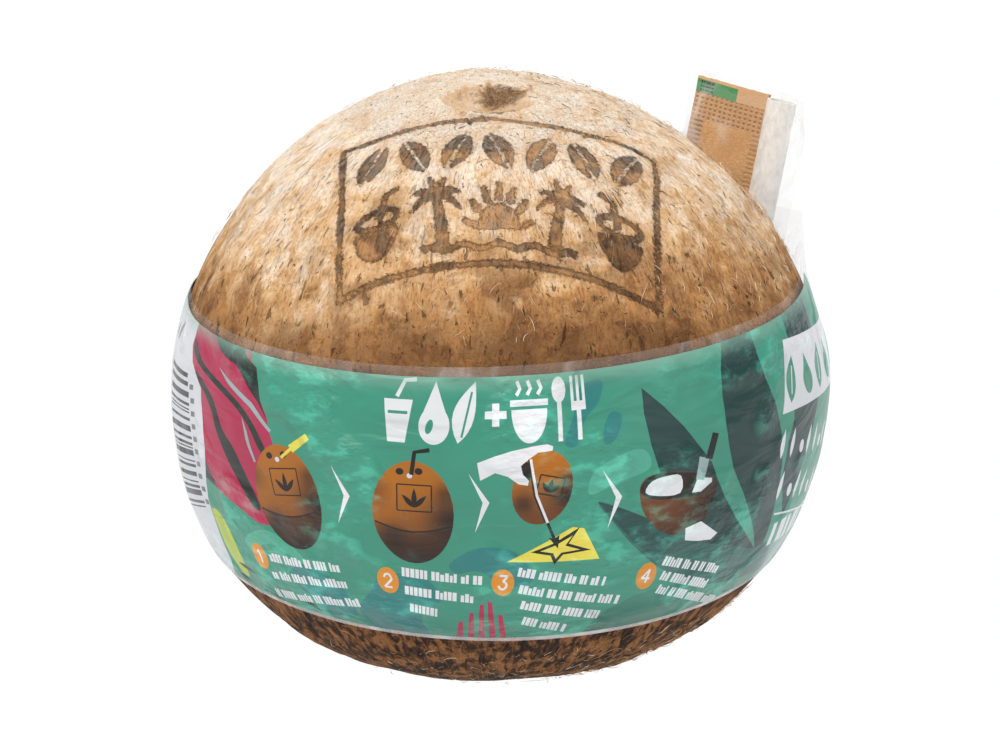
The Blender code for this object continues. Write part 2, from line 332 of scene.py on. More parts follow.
@dataclass
class Film:
    """Layout places are in millimetres: x round the coconut from the middle of its front, and y up
    from the print's lower edge to its upper edge at print_height.
    """

    shell: Shell
    seat: KitSeat
    clearance: float = 0.6 * MM
    overrun: float = 3.0 * MM
    gather: float = 7.0 * MM
    print_height: float = 47.0
    layout_radius: float = 57.0
    hem: float = 19.6 * MM
    hem_rise: float = 2.2 * MM
    rim: float = 65.5 * MM
    rim_rise: float = 1.5 * MM
    table: Array = field(init=False)
    heights: Array = field(init=False)

    def __post_init__(self) -> None:
        """Measures the film's reach once, on a table of heights and azimuths."""
        self.heights = np.linspace(self.hem - 3.0 * MM, self.rim + 5.0 * MM, 90)
        half = 0.5 * self.seat.width
        sides = np.array((-half, half, -half, half))
        depths = np.array((0.0, 0.0, self.seat.depth, self.seat.depth))
        lowest = self.seat.place(sides, np.zeros(4), depths)[:, 2].min() - self.overrun
        proud = np.maximum(self.taut(lowest) - self.bare(lowest), 0.0)
        rows = []
        for height in self.heights:
            if height >= lowest:
                rows.append(self.taut(height))
            else:
                share = smooth(np.array(1.0 - (lowest - height) / self.gather), 0.0, 1.0)
                rows.append(self.bare(height) + share * proud)
        self.table = np.array(rows)

    def bare(self, height: float) -> Array:
        """Reach of film lying on the shell at one height, for 720 azimuths."""
        spots = self.shell.points(ring(720), np.full(720, height), self.clearance)
        return np.hypot(spots[:, 0] - self.shell.axis, spots[:, 1])

    def taut(self, height: float) -> Array:
        half = 0.5 * self.seat.width + self.clearance
        along = self.seat.axes()[1]
        spots = self.shell.points(ring(180), np.full(180, height), self.clearance)
        for out in (0.0, self.seat.depth + self.clearance):
            for across in (-half, half):
                start = self.seat.place(across, 0.0, out)
                spots = np.vstack((spots, start + along * ((height - start[2]) / along[2])))
        flat = spots[:, :2] - (self.shell.axis, 0.0)
        corners = flat[convex_hull_2d([Vector(spot) for spot in flat.tolist()])]
        turns = np.arctan2(corners[:, 1], corners[:, 0]) % (2.0 * math.pi)
        order = np.argsort(turns)
        corners, turns = corners[order], turns[order]
        after = np.searchsorted(turns, ring(720), side="right") % len(turns)
        first, second = corners[after - 1], corners[after]
        edge = second - first
        rays = np.stack((np.cos(ring(720)), np.sin(ring(720))), -1)
        cross = first[:, 0] * edge[:, 1] - first[:, 1] * edge[:, 0]
        return cross / (rays[:, 0] * edge[:, 1] - rays[:, 1] * edge[:, 0])

    def reach(self, azimuth: Array, height: Array) -> Array:
        """The film's distance from the axis, read from the table."""
        step = 2.0 * math.pi / self.table.shape[1]
        column = (azimuth % (2.0 * math.pi)) / step
        row = np.interp(height, self.heights, np.arange(len(self.heights)))
        c0, r0 = np.floor(column).astype(int), np.minimum(row.astype(int), len(self.heights) - 2)
        c, r = column - c0, row - r0
        c0, c1 = c0 % self.table.shape[1], (c0 + 1) % self.table.shape[1]
        low = self.table[r0, c0] * (1.0 - c) + self.table[r0, c1] * c
        high = self.table[r0 + 1, c0] * (1.0 - c) + self.table[r0 + 1, c1] * c
        return low * (1.0 - r) + high * r

    def edges(self, azimuth: Array) -> tuple[Array, Array]:
        """Heights of the print's lower and upper edges."""
        low = self.hem + self.hem_rise * np.cos(azimuth) ** 2
        return low, self.rim + self.rim_rise * np.cos(azimuth)

    def wrap(self, layout: Array, lift: Array | float = 0.0) -> Array:
        """Takes layout places in millimetres to points on the film.

        Args:
            layout: x and y of each place, one row each.
            lift: How far each point stands off the film, in metres.
        """
        azimuth = layout[:, 0] / self.layout_radius - 0.5 * math.pi
        low, high = self.edges(azimuth)
        height = low + (high - low) * layout[:, 1] / self.print_height
        reach = self.reach(azimuth, height) + lift
        x = self.shell.axis + reach * np.cos(azimuth)
        return np.stack((x, reach * np.sin(azimuth), height), -1)


# ---------------------------------------------------------------- procedural finishes


class Graph:
    """A material's node tree, wired one step at a time."""

    def __init__(self, name: str) -> None:
        """Starts an empty finish of that name."""
        self.material = bpy.data.materials.new(name)
        self.material.use_nodes = True
        self.tree = self.material.node_tree
        self.shader = self.tree.nodes["Principled BSDF"]

    def add(self, kind: str, **settings: object) -> bpy.types.Node:
        """Adds one node with its settings."""
        made = self.tree.nodes.new("ShaderNode" + kind)
        for key, value in settings.items():
            setattr(made, key, value)
        return made

    def feed(self, socket: Socket, value: object) -> None:
        """Links a socket to an input, or sets the input to a number or colour."""
        if isinstance(value, Socket):
            self.tree.links.new(value, socket)
        else:
            socket.default_value = value

    def attribute(self, name: str, part: str = "Vector") -> Socket:
        """One of the mesh's own attributes."""
        return self.add("Attribute", attribute_name=name).outputs[part]

    def place(self, stretch: Color = (1.0, 1.0, 1.0)) -> Socket:
        """Object coordinates in millimetres, each axis times its stretch."""
        mapping = self.add("Mapping")
        mapping.inputs["Scale"].default_value = [1000.0 * value for value in stretch]
        self.feed(mapping.inputs["Vector"], self.add("TexCoord").outputs["Object"])
        return mapping.outputs[0]

    def axis(self, vector: Socket, name: str) -> Socket:
        """One coordinate of a vector."""
        split = self.add("SeparateXYZ")
        self.feed(split.inputs[0], vector)
        return split.outputs[name]

    def noise(self, vector: Socket, scale: float, detail: float = 3.0, rough: float = 0.55,
              twist: float = 0.0) -> Socket:
        """Cloudy noise from 0 to 1."""
        made = self.add("TexNoise")
        self.feed(made.inputs["Vector"], vector)
        for key, value in zip(("Scale", "Detail", "Roughness", "Distortion"),
                              (scale, detail, rough, twist)):
            made.inputs[key].default_value = value
        return made.outputs["Fac"]

    def math(self, operation: str, first: object, second: object = 0.0) -> Socket:
        """One sum on two numbers."""
        made = self.add("Math", operation=operation)
        self.feed(made.inputs[0], first)
        self.feed(made.inputs[1], second)
        return made.outputs[0]

    def times(self, first: object, second: object) -> Socket:
        """Two numbers multiplied."""
        return self.math("MULTIPLY", first, second)

    def plus(self, first: object, second: object) -> Socket:
        """Two numbers added."""
        return self.math("ADD", first, second)

    def minus(self, first: object, second: object) -> Socket:
        """The second number taken from the first."""
        return self.math("SUBTRACT", first, second)

    def step(self, value: Socket, low: float, high: float, least: float = 0.0,
             most: float = 1.0) -> Socket:
        """A smooth step between two levels."""
        made = self.add("MapRange", interpolation_type="SMOOTHSTEP")
        for socket, level in zip(made.inputs, (value, low, high, least, most)):
            self.feed(socket, level)
        return made.outputs[0]

    def ramp(self, value: Socket, stops: dict[float, Color]) -> Socket:
        """Colours along a scale from 0 to 1, given as display colours."""
        made = self.add("ValToRGB")
        self.feed(made.inputs[0], value)
        elements = made.color_ramp.elements
        while len(elements) < len(stops):
            elements.new(0.5)
        for element, (position, color) in zip(elements, sorted(stops.items())):
            element.position = position
            element.color = linear(color)
        return made.outputs[0]

    def blend(self, share: object, first: object, second: object, mode: str = "MIX") -> Socket:
        """Mixes two colours; plain tuples are display colours."""
        made = self.add("Mix", data_type="RGBA", blend_type=mode)
        self.feed(made.inputs["Factor"], share)
        for key, color in (("A", first), ("B", second)):
            sockets = [s for s in made.inputs if s.name == key and s.type == "RGBA"]
            self.feed(sockets[0], linear(color) if isinstance(color, tuple) else color)
        return [s for s in made.outputs if s.type == "RGBA"][0]

    def bump(self, height: Socket, distance: float, normal: Socket | None = None) -> Socket:
        """Fine relief of that depth in metres, on top of an earlier one."""
        made = self.add("Bump")
        made.inputs["Strength"].default_value = 1.0
        made.inputs["Distance"].default_value = distance
        self.feed(made.inputs["Height"], height)
        if normal:
            self.feed(made.inputs["Normal"], normal)
        return made.outputs[0]

    def finish(self, color: object, rough: object, normal: Socket | None = None,
               **plain: float) -> bpy.types.Material:
        """Sets the shader's inputs.

        Args:
            color: Base colour, a socket or a display colour.
            rough: Roughness, a socket or a number.
            normal: The last relief, if there is any.
            plain: Other inputs by name, with underscores for spaces, each one number.

        Returns:
            The finished material.
        """
        inputs = self.shader.inputs
        self.feed(inputs["Base Color"], linear(color) if isinstance(color, tuple) else color)
        self.feed(inputs["Roughness"], rough)
        if normal:
            self.feed(inputs["Normal"], normal)
        for key, value in plain.items():
            inputs[key.replace("_", " ").title().replace("Ior", "IOR")].default_value = value
        return self.material


# ---------------------------------------------------------------- the coconut


class Mark:
    """A burnt pictogram panel, drawn in millimetres on a plane that looks down at the dome.

    Distances are negative inside the burnt lines.
    """

    look_down = math.radians(78.0)
    left, right = -24.4, 27.0
    bottom, top = -24.3, 3.9
    line = 0.42

    def flatten(self, points: Array) -> Array:
        """Places of points on the panel's plane."""
        across = points[:, 0] / MM
        up = (points[:, 1] * math.sin(self.look_down) + points[:, 2] * math.cos(self.look_down)) / MM
        return np.stack((across, up), -1)

    def stroke(self, spots: Array, start: Spot, end: Spot, half: float, tip: float) -> Array:
        """Distance from a straight stroke that tapers from half to tip."""
        first, along = np.array(start), np.array(end) - np.array(start)
        share = np.clip(((spots - first) @ along) / (along @ along), 0.0, 1.0)
        gap = np.linalg.norm(spots - first - share[:, None] * along, axis=1)
        return gap - (half + (tip - half) * share)

    def curve(self, spots: Array, stops: Outline, half: float, tip: float) -> Array:
        """Distance from a chain of strokes that tapers along its length."""
        count = len(stops) - 1
        widths = [half + (tip - half) * i / count for i in range(count + 1)]
        parts = [self.stroke(spots, stops[i], stops[i + 1], widths[i], widths[i + 1])
                 for i in range(count)]
        return np.minimum.reduce(parts)

    def oval(self, spots: Array, centre: Spot, wide: float, tall: float) -> Array:
        """Nearly the distance from an oval's edge."""
        offset = (spots - np.array(centre)) / (wide, tall)
        size = np.linalg.norm(offset, axis=1)
        return (size - 1.0) * size / np.maximum(np.linalg.norm(offset / (wide, tall), axis=1), 1e-6)

    def border(self, spots: Array) -> Array:
        """The plain rectangular line round the panel."""
        middle = np.array((self.left + self.right, self.bottom + self.top)) / 2.0
        half = np.array((self.right - self.left, self.top - self.bottom)) / 2.0
        over = np.abs(spots - middle) - half
        outside = np.linalg.norm(np.maximum(over, 0.0), axis=1)
        return np.abs(outside + np.minimum(over.max(axis=1), 0.0)) - self.line

    def palm(self, spots: Array, foot: Spot, lean: float) -> Array:
        """A leaning palm with drooping fronds."""
        x, y = foot
        crown = (x + 1.1 * lean, y + 8.0)
        trunk = [(x, y), (x + 0.2 * lean, y + 2.6), (x + 0.6 * lean, y + 5.2), crown]
        parts = [self.curve(spots, trunk, 1.0, 0.6)]
        for angle, length in ((172.0, 3.9), (138.0, 4.3), (104.0, 4.2), (70.0, 4.2), (36.0, 4.3), (4.0, 3.9)):
            c, s = math.cos(math.radians(angle)), math.sin(math.radians(angle))
            stops = []
            for share in (0.0, 0.35, 0.7, 1.0):
                droop = 2.9 * share * share * abs(c)
                stops.append((crown[0] + length * share * c, crown[1] + length * share * s - droop))
            parts.append(self.curve(spots, stops, 0.8, 0.28))
        return np.minimum.reduce(parts)

    def leaf(self, spots: Array, centre: Spot, tall: float, wide: float, turn: float) -> Array:
        """A pointed leaf, split by its midrib."""
        c, s = math.cos(math.radians(turn)), math.sin(math.radians(turn))
        away = spots - np.array(centre)
        across, along = c * away[:, 0] + s * away[:, 1], c * away[:, 1] - s * away[:, 0]
        radius = (0.25 * tall * tall + 0.25 * wide * wide) / wide
        body = np.hypot(np.abs(across) + radius - 0.5 * wide, along) - radius
        return np.maximum(body, 0.36 - np.abs(across))

    def half_nut(self, spots: Array, centre: Spot, lean: float) -> Array:
        """An opened half: a bowl with its rim, and a straw standing in it."""
        x, y = centre
        bowl = np.maximum(self.oval(spots, (x, y), 3.7, 6.0), spots[:, 1] - y + 1.2)
        rim = np.abs(self.oval(spots, (x, y + 0.8), 3.3, 1.5)) - 0.42
        straw = self.curve(spots,
                           [(x + 0.4 * lean, y + 0.8), (x + 1.2 * lean, y + 5.0), (x + 3.0 * lean, y + 5.6)],
                           0.55, 0.5)
        return np.minimum.reduce([bowl, rim, straw])

    def sun(self, spots: Array, centre: Spot) -> Array:
        """A half sun with short rays."""
        x, y = centre
        parts = [np.maximum(self.oval(spots, centre, 3.6, 4.4), y + 0.2 - spots[:, 1])]
        for i in range(7):
            angle = math.radians(12.0 + 26.0 * i)
            c, s = math.cos(angle), math.sin(angle)
            parts.append(self.stroke(spots, (x + 4.3 * c, y + 5.6 * s), (x + 5.6 * c, y + 8.2 * s), 0.6, 0.4))
        return np.minimum.reduce(parts)

    def distance(self, points: Array) -> Array:
        """Distance of each point from the nearest burnt line, in millimetres."""
        spots = self.flatten(points)
        parts = [self.border(spots)]
        for i in range(7):
            x = -19.4 + 6.9 * i
            y = -3.9 + 0.003 * (x - 1.3) ** 2
            parts.append(self.leaf(spots, (x, y), 8.8, 4.4, 24.0 if i % 2 else -24.0))
        parts.append(self.half_nut(spots, (-18.4, -15.2), 1.0))
        parts.append(self.palm(spots, (-7.8, -20.6), -1.0))
        parts.append(self.sun(spots, (1.3, -19.2)))
        parts.append(self.palm(spots, (10.4, -20.6), 1.0))
        parts.append(self.half_nut(spots, (21.0, -15.2), -1.0))
        wave = np.abs(spots[:, 1] + 21.6 - 0.4 * np.sin(1.1 * spots[:, 0])) - 0.5
        parts.append(np.maximum(wave, np.abs(spots[:, 0] - 1.3) - 12.5))
        behind = np.where(points[:, 1] > 0.0, 40.0, 0.0)
        return np.clip(np.minimum.reduce(parts) + behind, -4.0, 4.0)


@dataclass(frozen=True)
class HuskFinish:
    """Sanded husk, pale where it was rubbed and tan and fibrous to the right; painted shade makes it paler on
    top and darker lower down, towards the right and at the foot.
    """

    pale: Color = (255, 248, 238)
    cream: Color = (252, 230, 204)
    sand: Color = (232, 194, 148)
    tan: Color = (196, 148, 98)
    brown: Color = (122, 84, 52)
    pit: Color = (58, 38, 22)
    ochre: Color = (222, 166, 100)
    foot: Color = (60, 38, 22)
    soot: Color = (58, 39, 25)
    scorch: Color = (184, 136, 90)

    def build(self) -> bpy.types.Material:
        """Wires the finish."""
        g = Graph("husked_shell")
        fibre, place, eye = g.attribute("fibre"), g.place(), g.attribute("eye")
        cloud = g.noise(place, 0.05, 3.0, 0.6)
        mottle = g.noise(place, 0.24, 5.0, 0.66, 0.5)
        grain = g.noise(place, 1.7, 4.0, 0.7)
        short = g.noise(fibre, 0.75, 4.0, 0.64, 0.7)
        thread = g.noise(fibre, 2.2, 3.0, 0.6, 0.4)
        # Painted shade: the husk grows darker lower down, as if lit from above, and paler towards its left
        # and right sides.
        side = g.times(g.math("ABSOLUTE", g.axis(place, "X")), 0.2)
        height = g.plus(g.axis(place, "Z"), side)
        low = g.step(g.plus(height, g.times(cloud, 34.0)), 119.0, 80.0)
        # Tan towards the right: partly the husk's own tone, partly painted shade on the side away from the
        # upper-left light.
        right = g.step(g.plus(g.axis(place, "X"), g.times(cloud, 44.0)), 8.0, 62.0)
        # Mostly painted shade lower down, plus the right-hand tan; it sets the base tone and where fibre
        # streaks and pits show.
        wear_and_shade = g.plus(g.times(low, 0.95), g.times(right, 0.12))
        level = g.plus(g.times(wear_and_shade, 0.4), g.times(mottle, 0.62))
        level = g.plus(level, g.times(g.minus(short, 0.5), 0.34))
        color = g.ramp(level, {0.26: self.pale, 0.38: self.cream, 0.48: self.sand, 0.6: self.tan,
                               0.76: self.brown})
        stain = g.noise(place, 0.13, 3.0, 0.6, 0.4)
        color = g.blend(g.step(stain, 0.55, 0.7, 0.0, 0.35), color, self.ochre)
        color = g.blend(g.times(g.step(stain, 0.52, 0.4, 0.0, 0.75), low), color, (112, 76, 46))
        shade = g.ramp(short, {0.32: (172, 138, 106), 0.45: (240, 228, 214), 0.6: (255, 255, 255)})
        color = g.blend(g.step(wear_and_shade, 0.0, 1.0, 0.45, 0.95), color, shade, "MULTIPLY")
        fine = g.ramp(thread, {0.33: (188, 166, 144), 0.48: (248, 244, 240), 0.6: (255, 255, 255)})
        color = g.blend(0.7, color, fine, "MULTIPLY")
        color = g.blend(g.step(grain, 0.43, 0.3, 0.0, 0.5), color, self.brown)
        fleck = g.step(g.noise(fibre, 0.85, 2.0, 0.5, 0.6), 0.655, 0.69)
        speck = g.step(g.noise(place, 1.1, 2.0, 0.5, 0.8), 0.70, 0.73)
        color = g.blend(g.times(fleck, g.step(wear_and_shade, 0.0, 1.0, 0.35, 0.9)), color, self.pit)
        color = g.blend(g.times(speck, 0.75), color, self.pit)
        # Painted shade: a darker band just above the sleeve's upper edge.
        rim = g.times(g.step(height, 82.0, 66.0), g.step(mottle, 0.58, 0.44, 0.15, 0.9))
        color = g.blend(rim, color, (118, 82, 50))
        # Painted shade at the foot: darker towards the floor, darkest where the nut meets it.
        drift = g.plus(g.axis(place, "Z"), g.times(mottle, 12.0))
        under = g.ramp(g.plus(g.times(short, 0.6), g.times(mottle, 0.4)),
                       {0.37: (18, 11, 7), 0.47: self.foot, 0.58: (150, 100, 58), 0.69: (76, 50, 30)})
        color = g.blend(g.step(drift, 34.0, 26.0), color, under)
        color = g.blend(g.step(drift, 17.0, 6.0, 0.0, 0.7), color, (28, 19, 13))
        rough_edge = g.times(g.minus(mottle, 0.5), 2.2)
        heat_tone = g.ramp(thread, {0.35: (66, 44, 28), 0.5: (112, 80, 52), 0.66: (158, 118, 78)})
        color = g.blend(g.step(g.plus(g.axis(eye, "X"), rough_edge), 0.3, 0.8, 0.0, 0.6), color,
                        (216, 172, 122))
        color = g.blend(g.step(g.plus(g.axis(eye, "Y"), rough_edge), 0.45, 0.95, 0.0, 0.85), color, heat_tone)
        color = g.blend(g.step(g.plus(g.axis(eye, "Z"), rough_edge), 0.45, 0.8, 0.0, 0.7), color,
                        (112, 82, 56))
        edge = g.plus(g.attribute("burn", "Fac"), g.times(g.minus(grain, 0.5), 1.3))
        edge = g.plus(edge, g.times(g.minus(mottle, 0.5), 0.9))
        burnt = g.step(edge, 0.24, -0.16)
        heat = g.ramp(g.plus(g.times(mottle, 0.6), g.times(cloud, 0.4)),
                      {0.4: self.soot, 0.49: (104, 72, 46), 0.56: self.scorch})
        heat = g.blend(0.6, heat, fine, "MULTIPLY")
        color = g.blend(g.step(edge, 1.9, 0.1, 0.0, 0.2), color, self.scorch)
        color = g.blend(g.times(burnt, g.step(short, 0.35, 0.62, 0.95, 0.72)), color, heat)
        normal = g.bump(mottle, 1.1 * MM)
        normal = g.bump(short, 0.42 * MM, normal)
        normal = g.bump(thread, 0.16 * MM, normal)
        normal = g.bump(grain, 0.2 * MM, normal)
        normal = g.bump(g.math("MAXIMUM", fleck, speck), -0.3 * MM, normal)
        normal = g.bump(burnt, -0.22 * MM, normal)
        return g.finish(color, g.step(burnt, 0.0, 1.0, 0.86, 0.7), normal, specular_ior_level=0.2)


@dataclass(frozen=True)
class FibreFinish:
    """Loose strands of husk, each with its own darker and lighter stretches."""

    name: str
    dark: Color
    light: Color

    def build(self) -> bpy.types.Material:
        """Wires the finish."""
        g = Graph(self.name)
        tone = g.noise(g.place(), 0.5, 2.0, 0.5)
        color = g.ramp(tone, {0.35: self.dark, 0.62: self.light})
        return g.finish(color, 0.8, None, specular_ior_level=0.3)


@dataclass
class Coconut:
    """The husked nut itself, with its eyes and burnt mark."""

    shell: Shell
    columns: int = 400
    rings: int = 236
    front_crowding: float = 0.34
    lump: float = 0.55 * MM
    ridge: float = 0.16 * MM
    sleeve_low: float = 17.0 * MM
    sleeve_high: float = 68.5 * MM
    eye_ring: float = 10.0
    eye_wide: float = 8.3
    eye_long: float = 5.6
    eye_depth: float = 2.1
    heart: Spot = (1.4, -7.8)
    heart_size: Spot = (4.6, 3.2)

    def ring_lengths(self, length: Array, height: Array) -> Array:
        """Places of the rings along the outline: close on the dome, wide under the sleeve."""
        spacing = np.select([height < 20.0 * MM, height < 64.0 * MM], [1.05, 2.3], 0.415)
        crowd = np.concatenate(([0.0], np.cumsum(np.diff(length) / spacing[1:])))
        return np.interp(np.linspace(0.0, crowd[-1], self.rings + 1), crowd, length)

    def eye_shape(self, points: Array, index: int) -> Array:
        """1 on the edge of one eye, less inside it and more outside."""
        azimuth = -0.5 * math.pi + 2.0 * math.pi * index / 3.0
        outward = np.array((math.cos(azimuth), math.sin(azimuth)))
        away = (points[:, :2] - (self.shell.top_axis, 0.0)) / MM
        long = away @ outward - self.eye_ring
        wide = away[:, 0] * outward[1] - away[:, 1] * outward[0]
        above = np.where(points[:, 2] > self.shell.widest, 0.0, 9.0)
        pinch = 1.0 + 0.25 * np.abs(wide / self.eye_wide)
        return np.hypot(long * pinch / self.eye_long, wide / self.eye_wide) + above

    def build(self) -> bpy.types.Object:
        """Shapes the nut from a sphere: outline, lumps, ridges, eyes and burnt mark."""
        deselect()
        bpy.ops.mesh.primitive_uv_sphere_add(segments=self.columns, ring_count=self.rings, radius=1.0)
        piece = bpy.context.object
        piece.name = piece.data.name = "husked_coconut"
        unit = get_points(piece)
        length, radius, height = self.shell.profile()
        stops = self.ring_lengths(length, height)
        lift = (np.arcsin(np.clip(unit[:, 2], -1.0, 1.0)) / math.pi + 0.5) * self.rings
        along = np.interp(lift, np.arange(self.rings + 1), stops)
        turn = np.arctan2(unit[:, 1], unit[:, 0])
        azimuth = turn + self.front_crowding * np.cos(turn)
        heights = np.interp(along, length, height)
        points = self.shell.points(azimuth, heights)
        flat = along < self.shell.flat_radius
        points[flat] = np.stack((along[flat] * np.cos(azimuth[flat]),
                                 along[flat] * np.sin(azimuth[flat]), 0.0 * along[flat]), -1)
        spread = 50.0 * np.minimum(np.interp(along, length, radius) / (25.0 * MM), 1.0)
        fibre = np.stack((spread * np.cos(azimuth), spread * np.sin(azimuth), 380.0 * along), -1)
        burn = Mark().distance(points)
        eyes = np.minimum.reduce([self.eye_shape(points, i) for i in range(3)])
        free = smooth(heights, self.sleeve_high, self.sleeve_high + 6.0 * MM)
        free = np.maximum(free, smooth(heights, self.sleeve_low, self.sleeve_low - 6.0 * MM))
        grounded = smooth(heights, 0.0, 6.0 * MM)
        lumps = wobble(points, 75.0, 2, 3.0) * (0.25 + 0.75 * free)
        ridges = (1.0 - 2.0 * np.abs(wobble(fibre, 0.3, 3, 11.0))) * (0.3 + 0.7 * free)
        pits = smooth(wobble(fibre, 0.4, 1, 37.0), 0.42, 0.62) * free
        out = (self.lump * lumps + self.ridge * ridges - 0.55 * MM * pits) * grounded
        out -= 0.14 * MM * smooth(burn, 0.15, -0.25)
        normal = points - (self.shell.axis, 0.0, self.shell.widest)
        normal /= np.maximum(np.linalg.norm(normal, axis=1), 1e-9)[:, None]
        points += normal * out[:, None]
        ragged = eyes + 0.12 * wobble(points, 420.0, 2, 5.0)
        sink = np.where(ragged < 1.0, (1.0 - np.clip(ragged, 0.0, 1.0) ** 2) ** 1.4, 0.0)
        rim = np.exp(-((ragged - 1.08) / 0.16) ** 2)
        deep = (1.0, 0.22, 0.22)
        nearest = np.argmin([self.eye_shape(points, i) for i in range(3)], axis=0)
        points[:, 2] += MM * np.choose(nearest, deep) * (0.35 * rim - self.eye_depth * sink)
        set_points(piece, points)
        plan = points[:, :2] / MM
        core = 1.5 - np.hypot((plan[:, 0] - self.heart[0]) / self.heart_size[0],
                              (plan[:, 1] - self.heart[1]) / self.heart_size[1])
        front = np.where(nearest == 0, 1.0, 0.0)
        lip = np.exp(-((ragged - 0.98) / 0.09) ** 2) * smooth(plan[:, 1], -11.0,
                                                              -13.5) * smooth(np.abs(plan[:, 0]), 5.5, 2.0)
        tint = np.stack((smooth(ragged, 1.15, 0.75), np.clip(core, 0.0, 1.0), lip), -1) * front[:, None]
        tint[points[:, 2] < self.shell.widest] = 0.0
        set_attribute(piece, "fibre", fibre)
        set_attribute(piece, "burn", burn)
        set_attribute(piece, "eye", tint)
        piece.data.shade_smooth()
        piece.data.materials.append(HuskFinish().build())
        return finish_piece(piece, "husked_shell", "coconut")


@dataclass
class LooseFibres:
    """Strands that lie on the husk or curl off it, three-sided and pointed at both ends."""

    shell: Shell
    name: str
    finish: FibreFinish
    count: int
    seed: int
    longest: float
    thickness: float
    lift: float
    wander: float
    foot_share: float
    rightward: float = 1.0
    sleeve_low: float = 17.3 * MM
    sleeve_high: float = 69.0 * MM
    stops: int = 6

    def spread(self, dice: np.random.Generator) -> tuple[Array, Array]:
        """Chooses azimuths and starting heights, more to the right where that is wanted."""
        azimuth = dice.uniform(-math.pi, math.pi, 4 * self.count)
        keep = dice.random(4 * self.count) < 1.0 - self.rightward * (0.5 - 0.5 * np.cos(azimuth - 0.35))
        azimuth = azimuth[keep][:self.count]
        crown = 69.5 * MM + 31.5 * MM * dice.random(len(azimuth)) ** 1.25
        foot = 3.0 * MM + 13.0 * MM * dice.random(len(azimuth))
        return azimuth, np.where(dice.random(len(azimuth)) < self.foot_share, foot, crown)

    def build(self) -> bpy.types.Object:
        """Lays every strand along the husk and joins them as one piece."""
        dice = np.random.default_rng(self.seed)
        azimuth, start = self.spread(dice)
        count, stops = len(azimuth), self.stops
        length, radius, height = self.shell.profile()
        crown = start > self.shell.widest
        begin = np.interp(start, height, length)
        reach = self.longest * (0.25 + 0.75 * dice.random(count) ** 2)
        heading = dice.normal(0.0, self.wander, count)
        bend = dice.normal(0.0, 0.9, count)
        share = np.linspace(0.0, 1.0, stops)[None, :]
        turn = heading[:, None] + bend[:, None] * share
        step = reach[:, None] / (stops - 1)
        along = begin[:, None] + np.cumsum(np.cos(turn) * step, 1)
        low, high = np.interp((self.sleeve_high, self.sleeve_low), height, length)
        along = np.where(crown[:, None], np.maximum(along, low), np.minimum(along, high))
        around = azimuth[:, None] + np.cumsum(np.sin(turn) * step, 1) / np.maximum(
            np.interp(along, length, radius), 4.0 * MM)
        heights = np.interp(along, length, height)
        curl = self.lift * dice.random(count)[:, None] ** 3
        curl = curl * np.sin(math.pi * share * dice.uniform(0.5, 1.0, count)[:, None])
        clear = 0.12 * MM + 0.2 * MM * dice.random(count)[:, None] + curl
        spine = self.shell.points(around.ravel(), heights.ravel()).reshape(count, stops, 3)
        normal = spine - (self.shell.axis, 0.0, self.shell.widest)
        normal /= np.linalg.norm(normal, axis=2, keepdims=True)
        spine = spine + normal * clear[..., None]
        spine[..., 2] = np.maximum(spine[..., 2], 0.3 * MM)
        ahead = np.gradient(spine, axis=1)
        ahead /= np.maximum(np.linalg.norm(ahead, axis=2, keepdims=True), 1e-9)
        side = np.cross(ahead, normal)
        side /= np.maximum(np.linalg.norm(side, axis=2, keepdims=True), 1e-9)
        up = np.cross(side, ahead)
        taper = 0.12 + 0.88 * np.sin(math.pi * (0.06 + 0.88 * share)) ** 0.6
        thick = 0.5 * self.thickness * (0.5 + dice.random(count))[:, None] * taper
        sides = []
        for corner in ring(3) + 0.5 * math.pi:
            sides.append(spine + thick[..., None] * (math.cos(corner) * side + math.sin(corner) * up))
        verts = np.stack(sides, 2).reshape(-1, 3)
        faces = []
        for strand in range(count):
            base = strand * stops * 3
            for stop in range(stops - 1):
                a = base + 3 * stop
                faces += [(a + i, a + (i + 1) % 3, a + 3 + (i + 1) % 3, a + 3 + i) for i in range(3)]
            faces.append((base + 2, base + 1, base))
            end = base + 3 * (stops - 1)
            faces.append((end, end + 1, end + 2))
        piece = mesh_piece(self.name, verts, faces)
        turn_outward(piece)
        piece.data.materials.append(self.finish.build())
        return finish_piece(piece, "husked_shell")


# ---------------------------------------------------------------- the printed sleeve


class Ink(Enum):
    """The print's colours, as display colours."""

    TEAL = (64, 150, 126)
    AQUA = (84, 174, 148)
    SEA = (48, 130, 128)
    DEEP = (26, 64, 62)
    SLATE = (50, 104, 97)
    CRIMSON = (184, 38, 82)
    NIGHT = (36, 44, 40)
    LIME = (188, 206, 52)
    WHITE = (234, 234, 238)
    LILAC = (222, 222, 230)
    GREY = (112, 118, 118)
    STEEL = (160, 178, 180)
    ORANGE = (226, 144, 38)
    AMBER = (184, 108, 12)
    BARK = (112, 60, 18)
    COCOA = (34, 18, 10)
    YELLOW = (238, 222, 84)
    BLACK = (24, 22, 22)
    HAZE = (150, 186, 172)
    CLEAR = (255, 255, 255)


@dataclass(frozen=True)
class Fade:
    """How a shape's ink thins out, from most at start to none at end."""

    start: Spot
    end: Spot
    most: float = 1.0
    every_way: bool = False

    def cover(self, spots: Array) -> Array:
        """Share of ink at each place, straight along the fade or every way from its start."""
        gap = np.array(self.end) - np.array(self.start)
        away = spots - np.array(self.start)
        share = np.linalg.norm(away,
                               axis=-1) / np.linalg.norm(gap) if self.every_way else away @ gap / (gap @ gap)
        return self.most * smooth(share, 1.0, 0.0)


@dataclass(frozen=True)
class Shape:
    """One printed shape."""

    ink: Ink
    outline: Outline
    fade: Fade | None = None


